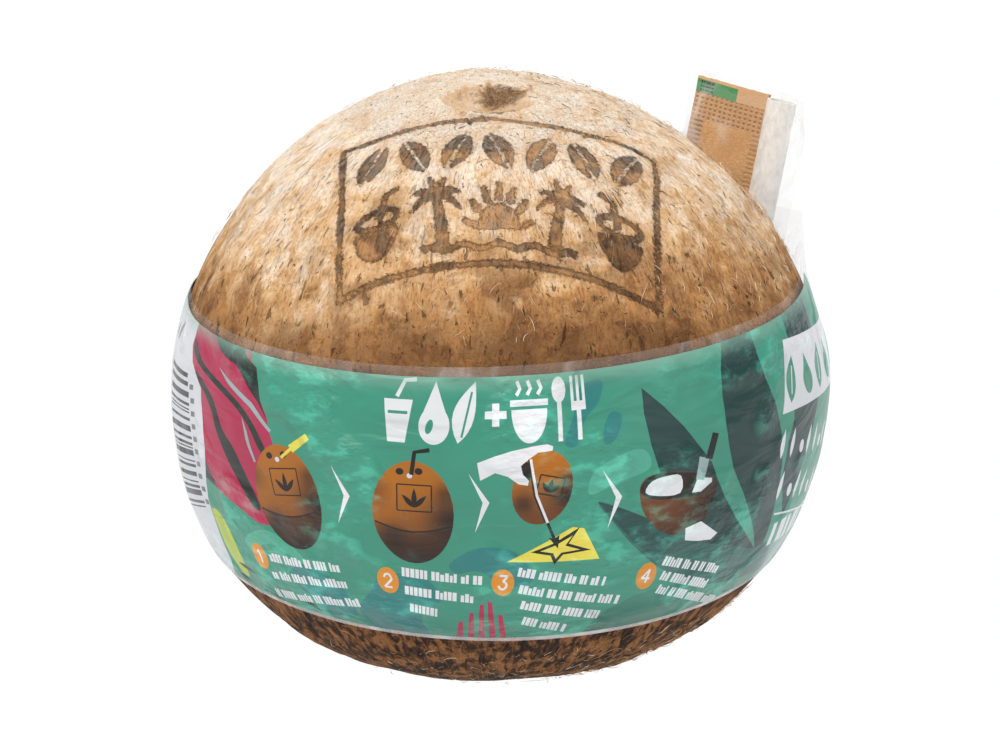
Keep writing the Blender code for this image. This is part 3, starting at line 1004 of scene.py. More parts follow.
@dataclass
class Artwork:
    """Flat shapes in painter's order, in the sleeve's layout millimetres."""

    shapes: list[Shape] = field(default_factory=list)
    dice: random.Random = field(default_factory=lambda: random.Random(7))

    def add(self, ink: Ink, *spots: Spot, fade: Fade | None = None) -> None:
        """A straight-sided shape."""
        self.shapes.append(Shape(ink, list(spots), fade))

    def blob(self, ink: Ink, *spots: Spot, steps: int = 5, fade: Fade | None = None) -> None:
        """A closed smooth shape through the given places."""
        count, outline = len(spots), []
        for i in range(count):
            p0, p1, p2, p3 = (np.array(spots[(i + k) % count]) for k in (-1, 0, 1, 2))
            for step in range(steps):
                t = step / steps
                outline.append(tuple(0.5 * (2 * p1 + (p2 - p0) * t + (2 * p0 - 5 * p1 + 4 * p2 - p3) * t * t
                                            + (3 * p1 - p0 - 3 * p2 + p3) * t ** 3)))
        self.add(ink, *outline, fade=fade)

    def oval(self, ink: Ink, centre: Spot, wide: float, tall: float, turn: float = 0.0,
             start: float = 0.0, end: float = 360.0, count: int = 30, fade: Fade | None = None) -> None:
        """An oval, or the part of one between two angles in degrees."""
        c, s = math.cos(math.radians(turn)), math.sin(math.radians(turn))
        whole = end - start >= 360.0
        outline = []
        for i in range(count if whole else count + 1):
            angle = math.radians(start + (end - start) * i / count)
            x, y = wide * math.cos(angle), tall * math.sin(angle)
            outline.append((centre[0] + c * x - s * y, centre[1] + s * x + c * y))
        self.add(ink, *outline, fade=fade)

    def box(self, ink: Ink, left: float, bottom: float, wide: float, tall: float, turn: float = 0.0,
            about: Spot | None = None) -> None:
        """A rectangle, turned in degrees about a place."""
        c, s = math.cos(math.radians(turn)), math.sin(math.radians(turn))
        x0, y0 = about or (left, bottom)
        spots = []
        for x, y in ((left, bottom), (left + wide, bottom), (left + wide, bottom + tall),
                     (left, bottom + tall)):
            spots.append((x0 + c * (x - x0) - s * (y - y0), y0 + s * (x - x0) + c * (y - y0)))
        self.add(ink, *spots)

    def line(self, ink: Ink, width: float, *spots: Spot, tip: float = 1.0) -> None:
        """A ribbon along a chain of places, its width times tip at the far end."""
        path = [np.array(spot) for spot in spots]
        left, right = [], []
        for i, spot in enumerate(path):
            ahead = path[min(i + 1, len(path) - 1)] - path[max(i - 1, 0)]
            side = np.array((-ahead[1], ahead[0])) / np.linalg.norm(ahead)
            half = 0.5 * width * (1.0 + (tip - 1.0) * i / (len(path) - 1))
            left.append(tuple(spot + side * half))
            right.append(tuple(spot - side * half))
        self.add(ink, *left, *reversed(right))

    def leaf(self, ink: Ink, foot: Spot, tip: Spot, wide: float, bend: float = 0.0, count: int = 9) -> None:
        """A leaf, pointed at both ends, that bends to one side."""
        start, along = np.array(foot), np.array(tip) - np.array(foot)
        side = np.array((-along[1], along[0])) / np.linalg.norm(along)
        left, right = [], []
        for i in range(count + 1):
            t = i / count
            middle = start + along * t + side * bend * math.sin(math.pi * t)
            half = 0.5 * wide * math.sin(math.pi * t ** 0.85)
            left.append(tuple(middle + side * half))
            right.append(tuple(middle - side * half))
        self.add(ink, *left, *reversed(right[1:-1]))

    def greek(self, ink: Ink, left: float, bottom: float, wide: float, tall: float = 1.15,
              turn: float = 0.0) -> None:
        """One row of plain blocks that stands in for a line of small print."""
        x = left
        while x < left + wide:
            for _ in range(self.dice.choice((2, 3, 4, 5, 6, 7))):
                block = 0.42 + 0.3 * self.dice.random()
                drop = self.dice.choice((0.0, 0.0, 0.0, 0.22))
                if x + block < left + wide:
                    self.box(ink, x, bottom, block, tall * (1.0 - drop), turn, (left, bottom))
                x += block + 0.17
            x += 0.55

    def badge(self, number: int, x: float, y: float, turn: float) -> None:
        """An orange oval that carries one step's number."""
        self.oval(Ink.ORANGE, (x, y), 1.95, 2.6)
        self.digit(Ink.WHITE, number, x, y, turn)

    def digit(self, ink: Ink, number: int, x: float, y: float, turn: float) -> None:
        """A plain numeral from 1 to 4."""
        w, h = 0.68, 1.3
        paths = {1: [[(-0.35, 0.75), (0.1, h), (0.1, -h)]],
                 2: [[(-w, 0.6), (-0.3, h), (0.3, h), (w, 0.6), (w, 0.25), (-w, -h), (w, -h)]],
                 3: [[(-w, h), (w, h), (0.0, 0.2), (0.45, 0.1), (w, -0.35), (w, -0.7), (0.3, -h), (-0.3, -h),
                      (-w, -0.7)]], 4: [[(0.3, -h), (0.3, h), (-0.8, -0.45), (0.85, -0.45)]],}
        c, s = math.cos(math.radians(turn)), math.sin(math.radians(turn))
        for path in paths[number]:
            for first, second in zip(path, path[1:]):
                ends = [(x + c * a - s * b, y + s * a + c * b) for a, b in (first, second)]
                self.line(ink, 0.38, *ends)

    def nut(self, centre: Spot, wide: float, tall: float, turn: float, lid: bool = True) -> None:
        """A pictured brown nut, amber at its upper left and dark at its lower right."""
        c, s = math.cos(math.radians(turn)), math.sin(math.radians(turn))

        def at(x: float, y: float) -> Spot:
            """A place on the nut from shares of its width and height."""
            return (centre[0] + c * x * wide - s * y * tall, centre[1] + s * x * wide + c * y * tall)

        def shade(ink: Ink, start: Spot, end: Spot, most: float, every_way: bool = True) -> None:
            """Darkens the whole nut with one soft patch."""
            self.oval(ink, centre, wide, tall, turn, fade=Fade(at(*start), at(*end), most, every_way))

        self.oval(Ink.AMBER, centre, wide, tall, turn)
        shade(Ink.BARK, (0.5, -0.9), (-0.35, 0.75), 1.0, False)
        shade(Ink.COCOA, (0.9, -0.1), (0.0, -0.05), 1.0)
        shade(Ink.COCOA, (-0.5, -0.5), (0.1, -0.45), 0.9)
        shade(Ink.COCOA, (0.8, 0.4), (0.35, 0.35), 0.75)
        shade(Ink.BARK, (-0.95, 0.4), (-0.4, 0.35), 0.8)
        if lid:
            cut = [at(x, -0.22 - 0.14 * math.cos(1.7 * x)) for x in np.linspace(-0.95, 0.95, 9)]
            low = [at(math.cos(a), math.sin(a)) for a in np.radians(np.linspace(-16.0, -164.0, 17))]
            self.add(Ink.COCOA, *cut, *low, fade=Fade(at(0.2, -1.1), at(-0.2, 0.5), 1.0))
            self.line(Ink.BLACK, 0.3, *cut)
            for x, y in ((-0.3, 0.79), (0.16, 0.81)):
                self.oval(Ink.COCOA, at(x, y), 0.1 * wide, 0.065 * tall, turn, count=10)
            self.oval(Ink.LILAC, at(-0.06, 0.72), 0.07 * wide, 0.05 * tall, turn, count=10)
        middle, half = (0.05, 0.3) if lid else (0.25, 0.1), (0.42, 0.25)
        box = [at(middle[0] + i * half[0], middle[1] + j * half[1]) for i,
               j in ((-1, 1), (1, 1), (1, -1), (-1, -1))]
        for first, second in zip(box, box[1:] + box[:1]):
            self.line(Ink.COCOA, 0.24, first, second)
        for x, y in ((-0.3, 0.06), (0.0, 0.19), (0.3, 0.06)):
            self.leaf(Ink.COCOA, at(middle[0], middle[1] - 0.18), at(middle[0] + x, middle[1] + y), 0.9)

    def arrowhead(self, x: float, y: float) -> None:
        """A slim white chevron that points to the next step."""
        self.add(Ink.WHITE, (x, y + 5.0), (x + 3.4, y), (x + 1.0, y - 5.4), (x + 2.3, y))


LEAF_EDGE: Outline = [(-69.2, 47), (-69.2, 43), (-67.4, 40.3), (-62, 37), (-60.2, 31.1), (-59.6, 26.3),
                      (-59.7, 22.9), (-60.2, 20.6)]


class SleeveArt(Artwork):
    """Everything printed on the sleeve, from the back left, round the front, to the back right, with painted
    highlight and shade bands at its edges.
    """

    def draw(self) -> None:
        """Draws every region."""
        self.backdrop()
        self.bars_panel()
        self.left_leaf()
        self.right_leaves()
        self.title()
        self.headline()
        self.steps()
        self.captions()
        self.back()
        self.edges()

    def backdrop(self) -> None:
        """Brushy shapes close to the ground colour."""
        self.blob(Ink.SEA, (-24, 0), (-26, 4), (-23, 8), (-20, 12), (-13, 12.5), (-10, 8), (-14, 4),
                  (-13, -1), (-20, -1))
        self.blob(Ink.SEA, (-8, 15.5), (-3, 18.5), (3, 17.5), (6, 12), (1, 11), (-3, 14), (-7, 13.5))
        self.blob(Ink.SEA, (11, 36), (12.5, 40), (14, 44.5), (18, 45.2), (17.2, 42), (14.6, 39.5), (13, 35.5))
        self.blob(Ink.SEA, (17.5, 37), (19, 40), (21, 39.4), (20, 36.2), (18, 35))
        self.blob(Ink.AQUA, (-50, 12), (-44, 15.4), (-38, 14), (-34, 10), (-39, 12), (-44, 12.6), (-49, 9.6))
        self.blob(Ink.SEA, (-40, 8), (-34, 11), (-28, 7), (-27, 2), (-33, 1), (-37, 4))
        self.blob(Ink.AQUA, (16, 31), (22, 33.5), (25, 33), (25.5, 30), (20, 28.6), (15, 27))
        for x in (95, 128, 160, -165, -130, -100):
            self.blob(Ink.SEA, (x - 8, 8), (x, 16), (x + 9, 14), (x + 6, 4), (x - 2, 2))

    def left_leaf(self) -> None:
        """A big crimson leaf with dark stripes, and a lime crescent below it."""
        self.add(Ink.CRIMSON, *LEAF_EDGE, (-56.3, 19.8), (-50, 18.0), (-45.1, 16.3), (-40, 17), (-40, 31.7),
                 (-41.3, 34.3), (-42, 36.7), (-44, 39.3), (-45.3, 42.4), (-46.3, 44.6), (-48, 45.4),
                 (-48.4, 47))
        self.add(Ink.NIGHT, (-60.8, 47), (-51, 47), (-49.3, 45.8), (-46.3, 44.6), (-45.3, 42.4), (-44, 39.3),
                 (-41.9, 36.2), (-44.4, 38.8), (-47.8, 41.1), (-50.6, 43.2), (-51.9, 43.9), (-55.0, 44.4),
                 (-57.8, 45.2))
        self.add(Ink.STEEL, (-56.9, 42.4), (-52.7, 40.9), (-46, 38.5), (-40.9, 34.8), (-41.3, 34.3),
                 (-46.4, 37.6), (-53.1, 40.2))
        self.add(Ink.STEEL, (-48.4, 35.6), (-46.8, 33.2), (-44.4, 28.2), (-44.9, 28.1), (-47, 31.8))
        self.blob(Ink.NIGHT, (-68.4, 44.6), (-63.7, 41.8), (-55.9, 39.9), (-50, 37.9), (-45.5, 35.1),
                  (-42.2, 31.2), (-43.2, 30.3), (-46.6, 34.3), (-51.1, 37.1), (-57.1, 39.0), (-65.1, 40.9),
                  (-68.2, 42.7), steps=3)
        self.blob(Ink.NIGHT, (-66.1, 39.5), (-60.1, 38), (-56.4, 35.8), (-53.5, 31.8), (-49.4, 28.4),
                  (-44.1, 20.2), (-46.0, 19.4), (-51.0, 25.5), (-55.2, 30.7), (-57.2, 34.2), (-60.4, 36.5),
                  steps=3)
        self.add(Ink.NIGHT, (-59.6, 24.2), (-56.0, 19.9), (-60.2, 20.6))
        self.blob(Ink.LIME, (-59.8, 14.4), (-57.4, 14.8), (-55.4, 12.8), (-54.2, 9.5), (-53.6, 5.6),
                  (-54.0, 2.6), (-56, 2.2), (-57.4, 4.4), (-58.6, 7.2), (-59.2, 10.8), steps=4)
        for foot, tip in (((-56.0, 4.8), (-50.2, 3.9)), ((-57.6, 1.8), (-53.8, 1.0)),
                          ((-50.9, 0.8), (-44.6, 0.2)), ((-44.4, -0.2), (-39.4, -0.6)),
                          ((-38.9, 2.2), (-35.2, 0.7))):
            self.leaf(Ink.NIGHT, foot, tip, 0.95, 0.2)

    def bars_panel(self) -> None:
        """A pale panel with a column of plain dark bars."""
        self.add(Ink.LILAC, *LEAF_EDGE, (-60.6, 16.5), (-60.0, 12.5), (-59.6, 8), (-59.4, 4), (-61.5, 0),
                 (-97, 0), (-98, 47))
        shade = random.Random(3)
        heights, ends = (14.0, 18.7, 24.5, 30.0, 33.0, 38.0), (-62.8, -64.2, -64.9, -65.9, -66.7, -68.9)
        y = 13.6
        while y < 38.0:
            tall = shade.choice((0.28, 0.28, 0.55, 0.55, 0.85, 1.1))
            x = float(np.interp(y, heights, ends))
            wide = 14.0 if shade.random() < 0.9 else 15.2
            turn = 18.0 - 0.5 * (y - 14.0)
            slope = math.radians(turn)
            self.box(Ink.BLACK, x - wide * math.cos(slope), y - wide * math.sin(slope), wide, tall, turn)
            y += tall + shade.choice((0.28, 0.45, 0.6, 0.85))
        for i in range(10):
            y = 14.6 + 2.3 * i
            self.box(Ink.GREY, float(np.interp(y, heights, ends)) + 0.8, y, 1.7, 0.95, 12.0)
        self.leaf(Ink.GREY, (-81.5, 40.4), (-77.5, 45.0), 1.6)
        self.leaf(Ink.GREY, (-84.5, 40.0), (-82.3, 43.6), 1.2)

    def right_leaves(self) -> None:
        """Long dark leaves that sweep down to the right."""
        self.add(Ink.DEEP, (25.2, 43.1), (26.1, 42.3), (29, 39.6), (32.3, 35.9), (35.4, 31.8), (37.8, 28.6),
                 (39.2, 25.2), (41.1, 21.6), (44.5, 16.7), (48.6, 12.2), (52.9, 8.2), (46, 8.4), (38, 12),
                 (30.4, 18), (27.4, 29), (25.9, 33.9), (25.1, 39))
        self.add(Ink.DEEP, (43.9, 47), (42.2, 43), (41.4, 38.7), (41.3, 34), (41.7, 30.3), (42.6, 26.6),
                 (43.9, 24), (48.2, 16.4), (52.9, 8.2), (55.4, 5.2), (56.0, 15.5), (56.4, 23.2), (55.6, 29.3),
                 (54.5, 34.8), (53, 39), (52.2, 43.3), (52.3, 47))
        self.blob(Ink.SLATE, (16.4, 25.6), (20.4, 24.0), (25.6, 21.2), (31.4, 17.6), (38.6, 13.7), (46, 11),
                  (52.9, 8.2), (58, 8), (61, 2), (52, 2.6), (42, 4.6), (34.1, 8.3), (28.9, 11.3),
                  (23.2, 16.6), (18.9, 22.0), steps=3)
        self.add(Ink.DEEP, (16.4, 25.6), (20.4, 24.0), (25.6, 21.2), (31.4, 17.6), (38.6, 13.7), (46, 11),
                 (52.9, 8.2), (46, 6.0), (37, 8.4), (28.9, 12.3), (23.2, 17.2), (18.9, 22.4),
                 fade=Fade((30, 30), (44, 6), 0.8))
        self.add(Ink.DEEP, (16.3, 0), (17.4, 2.0), (20.1, 4.6), (24.8, 6.7), (29.9, 7.2), (34.9, 6.3),
                 (42, 4.5), (52, 3.2), (61, 2), (61, 0), fade=Fade((20, -30), (44, 20), 0.9))
        self.add(Ink.DEEP, (64, 47), (63.2, 42.8), (61.5, 36), (60.2, 30), (58.1, 26.8), (57, 20), (60, 12),
                 (66, 22), (71, 30), (74.5, 38), (77, 47))

    def title(self) -> None:
        """A white title block with knocked-out leaves and drops, and smaller pale shapes below it."""
        self.add(Ink.WHITE, (61.2, 43.4), (108, 37.6), (106, 27.4), (56.4, 31.9))
        for i in range(7):
            x, y = 59.4 + 6.4 * i, 33.0 - 0.62 * i
            if i % 2 == 0:
                self.leaf(Ink.TEAL, (x + 0.2, y), (x + 3.2, y + 7.4), 3.4, 0.3)
                self.line(Ink.WHITE, 0.34, (x + 0.8, y + 1.4), (x + 2.5, y + 5.8))
            else:
                self.oval(Ink.TEAL, (x + 1.6, y + 2.6), 2.0, 2.5)
                self.add(Ink.TEAL, (x - 0.3, y + 3.3), (x + 1.6, y + 7.2), (x + 3.5, y + 3.3))
        for row, (bottom, slant) in enumerate(((24.2, -0.23), (16.6, -0.28))):
            for i in range(7):
                x = 55.6 + 0.6 * row + 3.5 * i
                y = bottom + slant * (x - 55.4)
                if (i + row) % 3 == 2:
                    self.oval(Ink.WHITE, (x + 1.0, y + 1.5), 0.9, 1.2, count=16)
                else:
                    self.leaf(Ink.WHITE, (x, y), (x + 1.6, y + 5.0), 1.35, 0.2)
        self.add(Ink.WHITE, (56.6, 13.8), (76, 9.0), (76, 8.6), (56.6, 13.4))
        for i in range(8):
            x = 57.6 + 3.2 * i
            self.box(Ink.WHITE, x, 7.0 - 0.3 * i, 1.5 + 0.9 * (i % 2), 4.4)

    def headline(self) -> None:
        """A row of bold white pictures across the front."""
        low, w = 36.4, Ink.WHITE
        self.add(w, (-19.4, low + 7.0), (-18.4, low), (-15.4, low), (-14.4, low + 7.0))
        self.line(w, 0.7, (-17.2, low + 7.4), (-16.0, low + 10.0), (-14.0, low + 10.2))
        self.line(Ink.TEAL, 0.5, (-18.6, low + 4.9), (-15.2, low + 4.9))
        self.oval(w, (-10.6, low + 3.0), 2.6, 3.1)
        self.add(w, (-12.7, low + 4.6), (-10.6, low + 10.0), (-8.5, low + 4.6))
        self.oval(Ink.TEAL, (-11.4, low + 2.8), 0.6, 1.2, -15.0)
        self.leaf(w, (-6.6, low + 0.2), (-3.8, low + 10.0), 3.6, 0.4)
        self.line(Ink.TEAL, 0.36, (-6.0, low + 1.2), (-4.4, low + 8.4))
        self.box(w, -2.2, low + 4.1, 3.6, 1.2)
        self.box(w, -1.0, low + 2.9, 1.2, 3.6)
        self.oval(w, (5.2, low + 5.4), 3.0, 5.4, 0.0, 180.0, 360.0)
        self.box(w, 2.0, low + 5.9, 6.4, 1.0)
        for x in (3.4, 5.2, 7.0):
            self.line(w, 0.6, (x - 0.3, low + 7.6), (x + 0.3, low + 8.6), (x - 0.2, low + 9.8))
        self.oval(w, (10.3, low + 8.1), 1.2, 2.0)
        self.line(w, 0.75, (10.3, low + 6.6), (10.3, low))
        self.line(w, 0.75, (13.6, low + 5.0), (13.6, low))
        for x in (12.6, 13.6, 14.6):
            self.line(w, 0.5, (x, low + 10.0), (x, low + 5.8))
        self.box(w, 12.35, low + 4.7, 2.5, 1.4)

    def steps(self) -> None:
        """Four pictured steps: pierce, drink, crack and eat."""
        self.nut((-37.6, 23.2), 7.0, 9.6, 12.0)
        self.line(Ink.YELLOW, 0.55, (-38.6, 30.4), (-36.3, 32.6))
        self.line(Ink.YELLOW, 1.5, (-36.5, 32.4), (-33.2, 35.2), tip=0.8)
        self.nut((-14.1, 24.2), 6.9, 9.2, 0.0)
        self.line(Ink.BLACK, 0.75, (-14.2, 31.0), (-13.7, 34.9), (-11.2, 35.4))
        for x, y in ((-28.4, 26.0), (-4.8, 26.6), (17.2, 26.0)):
            self.arrowhead(x, y)
        self.add(Ink.YELLOW, (1.4, 15.8), (12.3, 21.6), (14.2, 21.2), (17.2, 15.2))
        star = [(5.4, 17.5), (9.1, 18.9), (13.5, 21.5), (11.7, 18.7), (15.6, 17.1), (10.8, 16.7), (9.4, 14.9),
                (8.7, 16.7)]
        self.add(Ink.BLACK, *star)
        self.add(Ink.YELLOW, *[(10.0 + 0.66 * (x - 10.0), 17.8 + 0.62 * (y - 17.8)) for x, y in star])
        self.nut((7.2, 28.8), 4.9, 6.4, -14.0, lid=False)
        self.blob(Ink.COCOA, (3.2, 32.4), (4.6, 33.4), (5.4, 32.0), (4.8, 29.6), (3.4, 30.0), (2.8, 31.2))
        self.add(Ink.WHITE, (-3.4, 33.4), (-0.5, 34.5), (2.3, 35.3), (5.8, 35.9), (8.0, 36.1), (9.0, 35.7),
                 (8.9, 35.0), (6.5, 34.8), (5.1, 33.9), (3.7, 32.8), (4.0, 31.3), (5.0, 30.2), (4.8, 29.4),
                 (3.3, 29.7), (1.6, 31.0), (-0.5, 31.7), (-2.9, 30.4))
        self.line(Ink.COCOA, 0.3, (5.0, 33.8), (5.3, 31.2), (5.9, 27.5), (7.6, 23.0))
        self.line(Ink.WHITE, 0.42, (5.3, 33.8), (5.7, 31.2), (6.3, 27.5), (8.1, 22.7))
        self.line(Ink.BLACK, 0.5, (8.1, 22.6), (9.3, 19.6))
        self.add(Ink.BLACK, (8.3, 20.0), (9.9, 17.9), (10.1, 20.4), (9.3, 19.8))
        bowl = [(23.7, 26.2), (24.6, 28.3), (27.4, 28.9), (31.5, 28.3), (36.0, 27.1), (38.9, 25.5),
                (38.4, 21.5), (35.8, 17.8), (31.9, 16.9), (27.9, 18.5), (24.7, 22.2)]
        self.blob(Ink.BARK, *bowl, steps=4)
        self.blob(Ink.COCOA, *bowl, steps=4, fade=Fade((38.5, 18.0), (27.0, 23.0), 0.95))
        self.blob(Ink.COCOA, *bowl, steps=4, fade=Fade((27.8, 17.5), (29.4, 22.5), 0.6, True))
        self.blob(Ink.COCOA, (23.9, 26.0), (24.8, 28.2), (27.5, 28.8), (31.5, 28.2), (36, 27.0), (38.8, 25.4),
                  (35.8, 23.4), (31.6, 23.7), (27.0, 24.3), steps=4)
        self.blob(Ink.WHITE, (24.8, 25.9), (26.0, 27.7), (28.8, 28.1), (31.5, 27.6), (31.5, 24.6),
                  (27.6, 24.8), steps=3)
        self.add(Ink.WHITE, (34.9, 26.6), (37.9, 25.8), (37.9, 25.1), (35.7, 23.9), (33.8, 24.1))
        self.add(Ink.STEEL, (35.3, 30.1), (37.3, 29.3), (36.2, 25.8), (34.5, 26.3))
        self.add(Ink.BLACK, (36.5, 29.5), (38.2, 33.6), (39.5, 33.1), (37.9, 29.0))
        self.add(Ink.WHITE, (33.0, 17.9), (36.2, 18.4), (40.3, 15.2), (39.0, 14.3), (36, 14.8), (33.2, 15.6))

    def captions(self) -> None:
        """Numbered badges with rows of plain blocks, and crimson brush strokes."""
        rows = ((1, -47.0, 9.2, 5.0,
                 ((-44.2, 9.0, 16.5, 7.0), (-44.9, 5.2, 18.5, 8.5), (-46.3, 0.8, 21.5, 9.5))),
                (2, -19.2, 11.0, 0.0,
                 ((-16.6, 12.2, 14.0, -3.5), (-16.4, 8.6, 12.4, -4.5), (-16.0, 5.0, 5.6, -8.0))),
                (3, 0.8, 11.8, -6.0,
                 ((3.2, 13.0, 16.4, -12.0), (3.4, 9.6, 19.0, -12.5), (3.8, 6.4, 15.2, -13.5),
                  (4.2, 3.0, 9.2, -16.0))),
                (4, 26.5, 10.2, -12.0,
                 ((29.2, 11.8, 15.2, -21.0), (29.3, 8.9, 13.4, -22.5), (29.2, 6.2, 19.4, -23.0))),)
        for number, x, y, turn, lines in rows:
            self.badge(number, x, y, turn)
            for left, bottom, wide, slope in lines:
                self.greek(Ink.WHITE, left, bottom, wide, 1.75, slope)
        for x, top, lean in ((-7.4, 3.6, 0.4), (-5.2, 5.6, 0.3), (-3.2, 7.4, 0.2), (-1.0, 8.0, -0.3),
                             (1.0, 5.2, -0.4)):
            self.line(Ink.CRIMSON, 1.3, (x, -1.0), (x + lean, 0.6 * top), (x + 1.6 * lean, top), tip=0.55)

    def back(self) -> None:
        """A ruled panel, leaf sprays and the lengthwise seam behind."""
        self.box(Ink.WHITE, 120.0, 5.0, 34.0, 37.0)
        for row in range(11):
            y = 37.6 - 3.0 * row
            self.box(Ink.GREY, 121.5, y - 1.0, 31.0, 0.22)
            self.greek(Ink.DEEP, 122.0, y, 11.0 + 4.0 * ((row * 7) % 3), 1.1)
            self.greek(Ink.DEEP, 146.0, y, 5.6, 1.1)
        for x, lean in ((-108.0, -1.0), (-128.0, 1.0), (-150.0, -1.0), (165.0, 1.0)):
            for i in range(7):
                angle = math.radians(20.0 + 23.0 * i)
                tip = (x + 15.0 * math.cos(angle), 3.0 + 24.0 * math.sin(angle) + lean)
                self.leaf(Ink.DEEP if i % 2 else Ink.CRIMSON, (x, 3.0), tip, 3.4, 1.4 * lean)
        for x in (-118.0, -139.0):
            self.nut((x, 35.0), 4.6, 6.0, 10.0)
        self.box(Ink.SLATE, -176.0, -1.0, 0.4, 50.0)

    def edges(self) -> None:
        far = 179.0
        # Painted highlight: a pale sheen along the print's upper edge.
        self.add(Ink.HAZE, (-far, 43.4), (far, 43.4), (far, 47.0), (-far, 47.0),
                 fade=Fade((0.0, 47.4), (0.0, 44.0), 0.6))
        # Painted shade: darker towards the print's lower edge, all the way round.
        self.add(Ink.NIGHT, (-far, 0.0), (far, 0.0), (far, 7.0), (-far, 7.0),
                 fade=Fade((0.0, -1.0), (0.0, 6.6), 0.34))
        # Painted highlight: a soft white glare low on the right-hand side of the front.
        self.add(Ink.WHITE, (50, 0), (76, 0), (76, 16), (50, 16),
                 fade=Fade((66.0, 4.0), (56.0, 4.0), 0.5, True))
        self.add(Ink.CLEAR, (91.5, 47.2), (94.5, 44.5), (99, 41), (105, 36), (112, 33), (160, 33), (168, 38),
                 (172, 47.2))


@dataclass(frozen=True)
class PrintFinish:
    """Printed film: flat inks under a clear face that is crinkled in places, with painted highlights on the
    crinkles and along the folds.
    """

    def build(self) -> bpy.types.Material:
        """Wires the finish."""
        g = Graph("printed_film")
        place = g.place()
        ink = g.attribute("ink", "Color")
        area = g.noise(place, 0.05, 2.0, 0.5)
        crinkled = g.step(area, 0.45, 0.54)
        fold = g.noise(g.place((1.0, 1.0, 1.8)), 0.2, 3.0, 0.55, 0.0)
        ridge = g.step(fold, 0.47, 0.66)
        long_fold = g.noise(g.place((0.5, 0.5, 1.6)), 0.11, 2.0, 0.5, 0.8)
        # Painted highlight: thin bright lines along the long folds.
        fold_glint = g.step(g.math("ABSOLUTE", g.minus(long_fold, 0.52)), 0.006, 0.0)
        tone = g.ramp(area, {0.36: (226, 232, 230), 0.62: (255, 255, 255)})
        color = g.blend(0.7, ink, tone, "MULTIPLY")
        # Painted highlights: aqua on the crinkle ridges and brighter patches in the crinkled areas.
        painted_crinkle_glint = g.times(g.times(ridge, crinkled), 0.6)
        color = g.blend(painted_crinkle_glint, color, (44, 124, 108), "ADD")
        patch = g.times(g.step(fold, 0.58, 0.6), crinkled)
        color = g.blend(g.times(patch, 0.3), color, (60, 96, 84), "ADD")
        color = g.blend(g.times(fold_glint, 0.2), color, (70, 92, 86), "ADD")
        normal = g.bump(g.times(fold, crinkled), 1.3 * MM)
        normal = g.bump(long_fold, 1.0 * MM, normal)
        return g.finish(color, 0.36, normal, coat_weight=0.15, coat_roughness=0.2, specular_ior_level=0.35)


@dataclass(frozen=True)
class ClearFinish:
    """Clear film: nearly invisible where it is flat, white where light catches its folds."""

    name: str
    haze: float
    veil: float
    scale: float = 0.3

    def build(self) -> bpy.types.Material:
        """Wires the finish."""
        g = Graph(self.name)
        fold = g.noise(g.place((1.0, 1.0, 0.6)), self.scale, 2.0, 0.5, 0.8)
        g.feed(g.shader.inputs["Alpha"], g.step(fold, 0.5, 0.72, self.haze, self.veil))
        color = g.ramp(fold, {0.3: (238, 240, 242), 0.7: (252, 252, 252)})
        return g.finish(color, 0.16, g.bump(fold, 0.8 * MM), coat_weight=0.3, coat_roughness=0.1)


